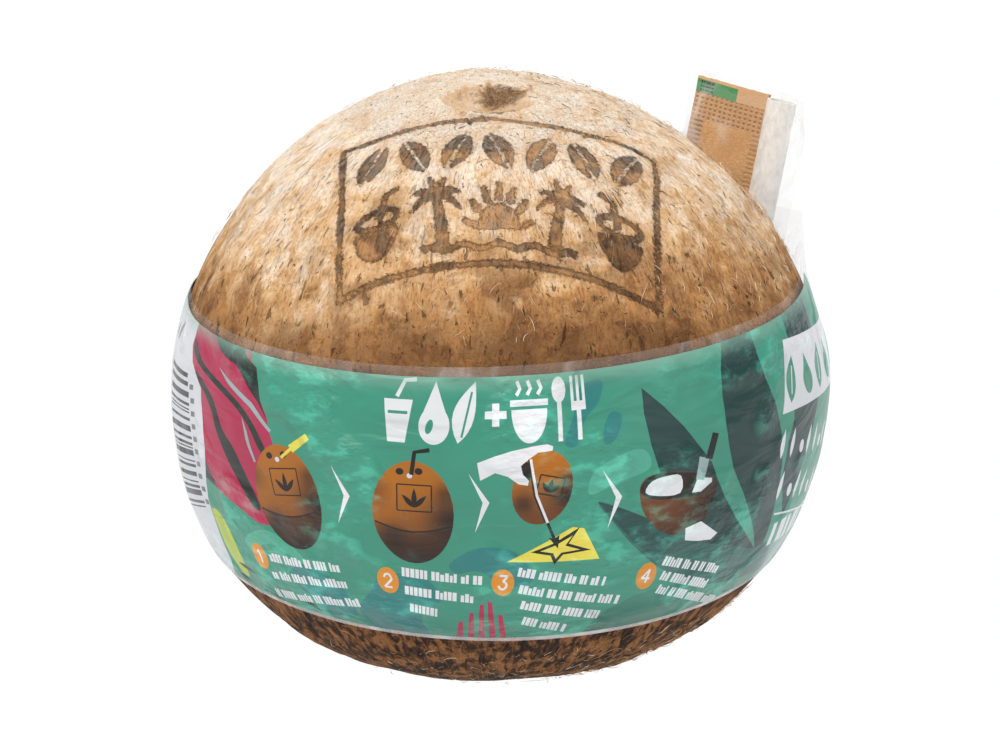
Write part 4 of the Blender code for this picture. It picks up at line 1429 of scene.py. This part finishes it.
@dataclass
class Sleeve:
    """The printed band and the clear film that runs past its print."""

    film: Film
    wall: float = 0.12 * MM
    front_step: float = 1.15
    back_step: float = 2.4
    front_reach: float = 92.0
    ripple: float = 0.14 * MM
    margin_above: float = 1.5 * MM
    margin_below: float = 0.8 * MM
    deepest: float = 0.1 * MM
    bulge: float = 0.9 * MM
    bulge_azimuth: float = 0.05
    bulge_spread: float = 0.45
    bulge_height: float = 50.0
    bulge_reach: float = 11.0

    def lift(self, points: Array) -> Array:
        """Shallow folds in the film, and a bulge on its right-hand side."""
        folds = wobble(points * (1.0, 1.0, 1.8), 95.0, 2, 9.0)
        around = (np.arctan2(points[:, 1], points[:, 0]) - self.bulge_azimuth) / self.bulge_spread
        above = (points[:, 2] / MM - self.bulge_height) / self.bulge_reach
        return np.maximum(self.ripple * folds, -self.deepest) + self.bulge * np.exp(-around ** 2 - above ** 2)

    def grid(self, half: float, tall: float) -> Outline:
        """Loose places that keep the band's triangles small, closer together in front."""
        right = np.concatenate((np.arange(0.0, self.front_reach, self.front_step),
                                np.arange(self.front_reach, half - 0.5 * self.back_step, self.back_step)))
        columns = np.concatenate((-right[:0:-1], right))
        rows = np.linspace(0.0, tall, 41)
        spots = [(x, y) for i, x in enumerate(columns)
                 for y in rows[i % 2::2 if abs(x) > self.front_reach else 1]]
        spots += [(side * half, y) for side in (-1.0, 1.0) for y in rows[1:-1]]
        return spots

    def refined(self, outline: Outline) -> Outline:
        """The same outline with its long edges split, so that they can follow the round film."""
        spots = []
        for a, b in zip(outline, outline[1:] + outline[:1]):
            count = max(1, math.ceil(math.dist(a, b) / self.front_step))
            spots += [(a[0] + (b[0] - a[0]) * i / count, a[1] + (b[1] - a[1]) * i / count)
                      for i in range(count)]
        return spots

    def paint(self, shapes: list[Shape], corners: Array, owners: list[list[int]]) -> Array:
        """Lays each shape's ink over the ones below it, at every face corner.

        Args:
            shapes: The printed shapes, the lowest first.
            corners: Layout places of the three corners of each face.
            owners: Numbers of the shapes that cover each face, counted from 1.

        Returns:
            One linear colour for each corner.
        """
        covered: dict[int, list[int]] = {}
        for face, numbers in enumerate(owners):
            for number in numbers:
                covered.setdefault(number, []).append(face)
        colors = np.tile(np.array(linear(Ink.TEAL.value)), (len(corners), 3, 1))
        for number, shape in enumerate(shapes, 1):
            hit = np.array(covered.get(number, []), int)
            share = shape.fade.cover(corners[hit])[..., None] if shape.fade else 1.0
            colors[hit] += (np.array(linear(shape.ink.value)) - colors[hit]) * share
        return colors

    def build_print(self) -> None:
        """Cuts the artwork into triangles and wraps it on the film, with the clear window on its own."""
        art = SleeveArt()
        art.draw()
        half, tall = math.pi * self.film.layout_radius, self.film.print_height
        spots = [(-half, 0.0), (half, 0.0), (half, tall), (-half, tall)]
        faces = [[0, 1, 2, 3]]
        for outline in (self.refined(shape.outline) for shape in art.shapes):
            turning = sum(a[0] * b[1] - b[0] * a[1] for a, b in zip(outline, outline[1:] + outline[:1]))
            if turning < 0.0:
                outline.reverse()
            faces.append(list(range(len(spots), len(spots) + len(outline))))
            spots += outline
        spots += self.grid(half, tall)
        cut = delaunay_2d_cdt([Vector(spot) for spot in spots], [], faces, 1, 1e-4, True)
        window = [number for number, shape in enumerate(art.shapes, 1) if shape.ink is Ink.CLEAR]
        kept = [(face, owners) for face, owners in zip(cut[2], cut[5]) if 0 in owners]
        clear = [face for face, owners in kept if window[0] in owners]
        kept = [(face, owners) for face, owners in kept if window[0] not in owners]
        layout = np.array([tuple(spot) for spot in cut[0]])
        points = self.film.wrap(layout, 0.0)
        points = self.film.wrap(layout, self.lift(points))
        piece = mesh_piece("printed_sleeve_film", points, [face for face, _ in kept])
        colors = self.paint(art.shapes, layout[np.array([face for face, _ in kept])],
                            [owners for _, owners in kept])
        layer = piece.data.color_attributes.new("ink", "FLOAT_COLOR", "CORNER")
        layer.data.foreach_set("color", colors.astype(np.float32).ravel())
        self.close(piece)
        piece.data.materials.append(PrintFinish().build())
        finish_piece(piece, "printed_film", "printed_sleeve")
        pane = mesh_piece("clear_kit_window", points, clear)
        self.close(pane)
        pane.data.materials.append(ClearFinish("clear_kit_window", 0.14, 0.4, 0.2).build())
        finish_piece(pane, "clear_film")

    def close(self, piece: bpy.types.Object) -> None:
        """Joins the seam, drops stray points, turns the faces outwards and gives the film its wall."""
        mesh = bmesh.new()
        mesh.from_mesh(piece.data)
        bmesh.ops.remove_doubles(mesh, verts=mesh.verts, dist=0.002 * MM)
        bmesh.ops.delete(mesh, geom=[v for v in mesh.verts if not v.link_faces], context="VERTS")
        bmesh.ops.recalc_face_normals(mesh, faces=mesh.faces)
        outward = sum(face.normal.x * face.calc_center_median().x + face.normal.y
                      * face.calc_center_median().y for face in mesh.faces)
        if outward < 0.0:
            bmesh.ops.reverse_faces(mesh, faces=mesh.faces)
        mesh.to_mesh(piece.data)
        mesh.free()
        piece.data.shade_smooth()
        apply_modifier(piece, "SOLIDIFY", thickness=self.wall, offset=-1.0)
        smooth_by_angle(piece, 50.0)

    def build_margin(self, name: str, top: bool) -> bpy.types.Object:
        """One clear strip of film beyond the print."""
        count, rows = 360, 4
        azimuth = ring(count)
        low, high = self.film.edges(azimuth)
        start = high if top else low
        span = self.margin_above if top else -self.margin_below
        verts = []
        for row in range(rows):
            height = start + span * row / (rows - 1)
            reach = self.film.reach(azimuth, height)
            flat = np.stack((self.film.shell.axis + reach * np.cos(azimuth), reach * np.sin(azimuth), height),
                            -1)
            away = np.stack((np.cos(azimuth), np.sin(azimuth), 0.0 * azimuth), -1)
            verts.append(flat + away * self.lift(flat)[:, None])
        faces = [(row * count + i, row * count + (i + 1) % count, (row + 1) * count + (i + 1) % count,
                  (row + 1) * count + i) for row in range(rows - 1) for i in range(count)]
        piece = mesh_piece(name, np.array(verts), faces)
        self.close(piece)
        haze, veil = (0.04, 0.12) if top else (0.26, 0.42)
        piece.data.materials.append(ClearFinish(name, haze, veil, 0.12).build())
        return finish_piece(piece, "clear_film")

    def build(self) -> None:
        """Makes the print and both clear margins."""
        self.build_print()
        self.build_margin("clear_rim_above", True)
        self.build_margin("clear_rim_below", False)


# ---------------------------------------------------------------- the opening kit


@dataclass(frozen=True)
class KraftFinish:
    """Brown kraft paper with its own fibres and a little print, and painted shade in its embossed hollows."""

    def build(self) -> bpy.types.Material:
        """Wires the finish."""
        g = Graph("kraft_paper")
        fibre = g.noise(g.place((1.0, 1.0, 3.0)), 1.5, 4.0, 0.65, 0.5)
        cloud = g.noise(g.place(), 0.16, 3.0, 0.6)
        paper = g.ramp(fibre, {0.3: (186, 132, 76), 0.52: (208, 158, 98), 0.72: (222, 178, 120)})
        paper = g.blend(g.step(cloud, 0.42, 0.66, 0.0, 0.4), paper, (188, 134, 76))
        # Painted shade: darker brown in the embossed hollows.
        hollow = g.times(g.attribute("hollow", "Fac"), 0.8)
        paper = g.blend(hollow, paper, (120, 74, 32))
        print_share = g.attribute("ink", "Alpha")
        color = g.blend(print_share, paper, g.attribute("ink", "Color"))
        return g.finish(color, 0.72, g.bump(fibre, 0.12 * MM), specular_ior_level=0.3)


@dataclass
class Packet:
    """The paper packet: embossed round its edges, with a smooth panel over the stick."""

    seat: KitSeat
    columns: int = 92
    step: float = 0.17 * MM
    coarse_step: float = 1.1 * MM
    shown: float = 25.0 * MM
    half_edge: float = 0.32 * MM
    swell: float = 1.3 * MM
    emboss: float = 0.16 * MM
    plain_top: float = 0.55 * MM
    patch_end: float = 2.9 * MM
    waffle_end: float = 7.4 * MM
    patch_width: float = 9.8 * MM
    pitch_across: float = 1.17 * MM
    pitch_along: float = 0.85 * MM
    ladder_width: float = 3.1 * MM
    far_ladder: float = 1.9 * MM

    def relief(self, across: Array, below: Array) -> Array:
        """Embossed height, from 0 in a hollow to 1 on plain paper."""
        wave_across = np.cos(2.0 * math.pi * across / self.pitch_across)
        wave_along = np.cos(2.0 * math.pi * below / self.pitch_along)
        waffle = smooth(np.maximum(wave_across, wave_along), -0.7, 0.35)
        ladder = smooth(wave_along, -0.8, 0.2)
        in_waffle = (below > self.patch_end) & (below < self.waffle_end)
        near = (across < self.ladder_width) & (below >= self.waffle_end) & (across > 0.35 * MM)
        far = (across > self.seat.packet_width - self.far_ladder) & (below >= self.waffle_end)
        relief = np.where(in_waffle, waffle, 1.0)
        relief = np.where(near, ladder, relief)
        return np.where(far, 0.55 + 0.45 * ladder, relief)

    def half_depth(self, across: Array, below: Array) -> Array:
        """Half the packet's thickness: full over the stick, thin at its sides and top."""
        middle = (across - 0.5 * self.seat.packet_width) / (0.5 * self.seat.packet_width)
        full = smooth(below, self.waffle_end, self.waffle_end + 9.0 * MM)
        panel = np.clip(1.0 - (np.abs(middle) / 0.72) ** 3, 0.0, 1.0) * smooth(below, self.waffle_end,
                                                                               self.waffle_end + 1.5 * MM)
        return self.half_edge + self.swell * full * np.clip(np.cos(0.5 * math.pi * middle), 0.0,
                                                            1.0) ** 1.5 + 0.22 * MM * panel

    def build(self) -> bpy.types.Object:
        """Shapes both faces from one grid and joins them at the edges."""
        width, length = self.seat.packet_width, self.seat.packet_length
        rows = np.concatenate((np.arange(0.0, self.shown, self.step),
                               np.arange(self.shown, length, self.coarse_step), [length]))
        cols = np.linspace(0.0, width, self.columns + 1)
        across, below = np.meshgrid(cols, rows)
        relief = self.relief(across, below)
        half = self.half_depth(across, below) - self.emboss * (1.0 - relief)
        wave = 0.18 * MM * np.sin(across / width * 7.0 + below / (5.0 * MM)) * smooth(below, 9.0 * MM,
                                                                                      2.0 * MM)
        ragged = 0.12 * MM * wobble(np.stack((across.ravel(), below.ravel() * 0.2, 0.0 * across.ravel()), -1),
                                    900.0, 1).reshape(across.shape)
        along = self.seat.end_gap + length - below + ragged * (below < 0.2 * MM)
        place_across = self.seat.packet_middle - 0.5 * width + across
        middle = 0.5 * self.seat.depth + wave
        faces_in = self.seat.place(place_across, along, middle - half)
        faces_out = self.seat.place(place_across, along, middle + half)
        verts = np.concatenate((faces_in.reshape(-1, 3), faces_out.reshape(-1, 3)))
        wide, count = self.columns + 1, across.size
        faces, inks = [], []
        for layer in (0, count):
            for r in range(len(rows) - 1):
                for c in range(self.columns):
                    a = layer + r * wide + c
                    quad = (a, a + 1, a + wide + 1, a + wide)
                    faces.append(quad if layer else quad[::-1])
                    inks.append(self.ink(cols[c] + 0.5 * cols[1], 0.5 * (rows[r] + rows[r + 1])))
        last = (len(rows) - 1) * wide
        rim = list(range(wide)) + [r * wide + self.columns for r in range(1, len(rows))]
        rim += [last + c for c in range(self.columns - 1, -1, -1)] + [r * wide
                                                                      for r in range(len(rows) - 2, 0, -1)]
        for a, b in zip(rim, rim[1:] + rim[:1]):
            faces.append((a, b, b + count, a + count))
            inks.append((0.0, 0.0, 0.0, 0.0))
        piece = mesh_piece("kraft_packet_paper", verts, faces)
        layer = piece.data.color_attributes.new("ink", "FLOAT_COLOR", "CORNER")
        layer.data.foreach_set("color", np.repeat(np.array(inks, np.float32), 4, axis=0).ravel())
        set_attribute(piece, "hollow", np.tile(1.0 - relief.ravel(), 2))
        turn_outward(piece)
        smooth_by_angle(piece, 50.0)
        piece.data.materials.append(KraftFinish().build())
        return finish_piece(piece, "kraft_paper", "kraft_packet")

    def ink(self, across: float, below: float) -> tuple[float, float, float, float]:
        """Print colour at one place, with no alpha where the paper is bare."""
        if below > self.patch_end:
            return 0.0, 0.0, 0.0, 0.0
        if below < self.plain_top or across > self.patch_width:
            return *linear((230, 192, 150))[:3], 0.6
        lines = (0.75 * MM, 1.45 * MM, 2.15 * MM)
        dash = 0.9 * MM < across < 3.9 * MM and any(0.0 < below - start < 0.36 * MM for start in lines)
        return linear((34, 44, 40) if dash and across % (0.62 * MM) > 0.12 * MM else (84, 152, 96))


@dataclass
class Wrapper:
    """The clear bag round the packet and the straw, with rounded corners and a flat top seal."""

    seat: KitSeat
    corner: float = 3.2 * MM
    inset: float = 0.12 * MM
    rows: int = 90
    columns: int = 28

    def build(self) -> bpy.types.Object:
        """Stacks flat oval sections from the lower end to the seal."""
        seat = self.seat
        half_width, half_depth = 0.5 * seat.width - self.inset, 0.5 * seat.depth - self.inset
        along = np.linspace(0.0, seat.length, self.rows + 1)
        below = seat.length - along
        flat = 0.1 + 0.9 * smooth(below, 1.2 * MM, 9.0 * MM)
        flat *= 0.25 + 0.75 * smooth(along, 0.0, 6.0 * MM)
        round_off = self.corner - np.sqrt(np.maximum(self.corner ** 2 - np.maximum(self.corner - below,
                                                                                   0.0) ** 2, 0.0))
        sections = []
        for stop in range(self.rows + 1):
            turn = ring(2 * self.columns)
            reach = -np.cos(turn)
            side = np.sign(reach) * np.abs(reach) ** 0.8
            across = side * (half_width - round_off[stop] * (side > 0.0) - 0.3 * round_off[stop]
                             * (side < 0.0))
            thick = np.sign(np.sin(turn)) * np.abs(np.sin(turn)) ** 0.5 * half_depth * flat[stop]
            sections.append(seat.place(across, np.full(len(turn), along[stop]), 0.5 * seat.depth + thick))
        verts = np.array(sections)
        crumple = wobble(verts.reshape(-1, 3), 260.0, 2, 4.0).reshape(verts.shape[:2])
        verts = verts - seat.axes()[2] * (0.22 * MM * np.maximum(crumple, 0.0))[..., None] * np.sign(
            (verts - seat.place(0.0, 0.0, 0.5 * seat.depth)) @ seat.axes()[2])[..., None]
        count = 2 * self.columns
        faces = [(r * count + i, r * count + (i + 1) % count, (r + 1) * count + (i + 1) % count,
                  (r + 1) * count + i) for r in range(self.rows) for i in range(count)]
        faces += [tuple(range(count)), tuple(self.rows * count + i for i in range(count))]
        piece = mesh_piece("clear_kit_bag", verts, faces)
        turn_outward(piece)
        smooth_by_angle(piece, 60.0)
        piece.data.materials.append(ClearFinish("clear_bag_film", 0.07, 0.34, 0.12).build())
        return finish_piece(piece, "clear_film", "kit_wrapper")


@dataclass(frozen=True)
class PaperFinish:
    """White paper wound in a spiral, or plain wood, by its two tones."""

    name: str
    light: Color
    shade: Color
    stretch: Color
    rough: float

    def build(self) -> bpy.types.Material:
        """Wires the finish."""
        g = Graph(self.name)
        grain = g.noise(g.place(self.stretch), 1.1, 4.0, 0.6, 0.4)
        color = g.ramp(grain, {0.35: self.shade, 0.6: self.light})
        return g.finish(color, self.rough, g.bump(grain, 0.1 * MM), specular_ior_level=0.35)


@dataclass
class Straw:
    """The white paper straw, a wound tube with a raised spiral edge."""

    seat: KitSeat
    length: float = 56.0 * MM
    wall: float = 0.4 * MM
    wind: float = 11.0 * MM
    lip: float = 0.06 * MM

    def build(self) -> bpy.types.Object:
        deselect()
        bpy.ops.mesh.primitive_cylinder_add(vertices=40, radius=self.seat.straw_radius, depth=self.length,
                                            end_fill_type="NOTHING")
        piece = bpy.context.object
        piece.name = piece.data.name = "white_paper_straw"
        bpy.ops.object.mode_set(mode="EDIT")
        bpy.ops.mesh.select_all(action="SELECT")
        bpy.ops.mesh.subdivide(number_cuts=1)
        bpy.ops.object.mode_set(mode="OBJECT")
        mesh = bmesh.new()
        mesh.from_mesh(piece.data)
        rows = [edge for edge in mesh.edges if abs(edge.verts[0].co.z - edge.verts[1].co.z) > 1.0 * MM]
        bmesh.ops.subdivide_edges(mesh, edges=rows, cuts=28, use_grid_fill=True)
        mesh.to_mesh(piece.data)
        mesh.free()
        points = get_points(piece)
        turn = np.arctan2(points[:, 1], points[:, 0])
        phase = (points[:, 2] / self.wind + turn / (2.0 * math.pi)) % 1.0
        grow = 1.0 + self.lip / self.seat.straw_radius * smooth(phase, 0.12, 0.0)
        points[:, :2] *= grow[:, None]
        set_points(piece, points)
        apply_modifier(piece, "SOLIDIFY", thickness=self.wall, offset=-1.0)
        points = get_points(piece)
        along = self.seat.end_gap + 0.5 * self.length + points[:, 2]
        placed = self.seat.place(self.seat.straw_middle + points[:, 0], along,
                                 0.5 * self.seat.depth + points[:, 1])
        set_points(piece, placed)
        turn_outward(piece)
        smooth_by_angle(piece, 40.0)
        finish = PaperFinish("white_paper", (246, 244, 240), (228, 224, 218), (1.0, 1.0, 0.5), 0.6)
        piece.data.materials.append(finish.build())
        return finish_piece(piece, "white_paper", "drinking_straw")


@dataclass
class Kit:
    """The whole opening kit."""

    seat: KitSeat

    def build(self) -> None:
        """Makes the packet, bag and straw, and dresses the stick."""
        Packet(self.seat).build()
        Wrapper(self.seat).build()
        Straw(self.seat).build()
        wood = PaperFinish("bare_wood", (222, 190, 146), (186, 146, 98), (1.0, 1.0, 0.15), 0.7).build()
        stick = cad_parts["piercing_stick"]
        for holder in stick.material_slots:
            holder.material = wood


# ---------------------------------------------------------------- floor, light and camera


@dataclass(frozen=True)
class Studio:
    """A plain white floor, soft light from the upper left, and the camera."""

    look_at: tuple[float, float, float] = (1.45 * MM, 0.0, 49.2 * MM)
    look_down: float = math.radians(17.5)
    distance: float = 700.0 * MM
    view_width: float = 172.41 * MM
    sensor: float = 36.0
    surround_strength: float = 0.34

    def floor(self) -> None:
        """A bright white sheet that shows no shadow."""
        deselect()
        bpy.ops.mesh.primitive_plane_add(size=6.0, location=(0.0, 0.0, 0.0))
        floor = bpy.context.object
        floor.name = "studio_floor"
        g = Graph("studio_white")
        tone = g.noise(g.place(), 0.002, 2.0, 0.5)
        color = g.ramp(tone, {0.3: (40, 40, 40), 0.7: (44, 44, 44)})
        floor.data.materials.append(g.finish(color, 0.9, None, emission_strength=1.0, specular_ior_level=0.0))
        g.shader.inputs["Emission Color"].default_value = (1.0, 1.0, 1.0, 1.0)

    def light(self, name: str, place: Color, size: float, power: float, tint: Color) -> None:
        """One soft square light that faces the coconut."""
        lamp = bpy.data.lights.new(name, "AREA")
        lamp.size = size
        lamp.energy = power
        lamp.color = linear(tint)[:3]
        holder = bpy.data.objects.new(name, lamp)
        bpy.context.scene.collection.objects.link(holder)
        holder.location = place
        aim = Vector(self.look_at) - Vector(place)
        holder.rotation_euler = aim.to_track_quat("-Z", "Y").to_euler()

    def surround(self) -> None:
        """Even white light from all round."""
        world = bpy.data.worlds.new("studio_surround")
        world.use_nodes = True
        sky = world.node_tree.nodes["Background"]
        sky.inputs["Color"].default_value = (1.0, 1.0, 1.0, 1.0)
        sky.inputs["Strength"].default_value = self.surround_strength
        bpy.context.scene.world = world

    def camera(self) -> None:
        """The camera, level with its horizon and looking slightly down."""
        lens = bpy.data.cameras.new("studio_camera")
        lens.sensor_width = self.sensor
        lens.lens = self.sensor * self.distance / self.view_width
        lens.clip_start = 0.01
        holder = bpy.data.objects.new("studio_camera", lens)
        bpy.context.scene.collection.objects.link(holder)
        back = Vector((0.0, -math.cos(self.look_down), math.sin(self.look_down)))
        holder.location = Vector(self.look_at) + self.distance * back
        holder.rotation_euler = (-back).to_track_quat("-Z", "Y").to_euler()
        bpy.context.scene.camera = holder

    def build(self) -> None:
        """Sets up the whole studio."""
        self.camera()
        self.floor()
        self.surround()
        self.light("key_light", (-0.6, -0.7, 0.85), size=0.5, power=5.0, tint=(255, 252, 246))
        self.light("top_light", (-0.15, -0.2, 1.3), size=0.8, power=11.0, tint=(255, 253, 250))
        self.light("fill_light", (0.85, -0.55, 0.45), size=0.6, power=1.8, tint=(248, 251, 255))
        self.light("rim_light", (0.35, 0.8, 0.6), size=0.5, power=3.0, tint=(255, 255, 255))
        bpy.context.scene.view_settings.view_transform = "Standard"


def main() -> None:
    """Builds the studio and every piece, in order."""
    logging.basicConfig(level=logging.INFO, format="%(name)s: %(message)s")
    Studio().build()
    low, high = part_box("coconut")
    shell = Shell(half_width=0.5 * (high.x - low.x), axis=0.5 * (high.x + low.x), top=101.8 * MM)
    Coconut(shell).build()
    seat = KitSeat(shell)
    Sleeve(Film(shell, seat)).build()
    Kit(seat).build()
    pale = FibreFinish("pale_fibre", (196, 166, 130), (240, 226, 204))
    tan = FibreFinish("tan_fibre", (150, 108, 66), (206, 164, 114))
    dark = FibreFinish("dark_fibre", (52, 34, 22), (112, 78, 50))
    LooseFibres(shell, "pale_fibres", pale, count=1100, seed=21, longest=3.4 * MM, thickness=0.08 * MM,
                lift=0.7 * MM, wander=0.5, foot_share=0.25).build()
    LooseFibres(shell, "tan_fibres", tan, count=1500, seed=22, longest=4.2 * MM, thickness=0.08 * MM,
                lift=0.6 * MM, wander=0.45, foot_share=0.6).build()
    LooseFibres(shell, "dark_fibres", dark, count=700, seed=23, longest=2.4 * MM, thickness=0.10 * MM,
                lift=0.3 * MM, wander=0.4, foot_share=0.4).build()
    bpy.context.view_layer.update()


if __name__ == "__main__":
    main()
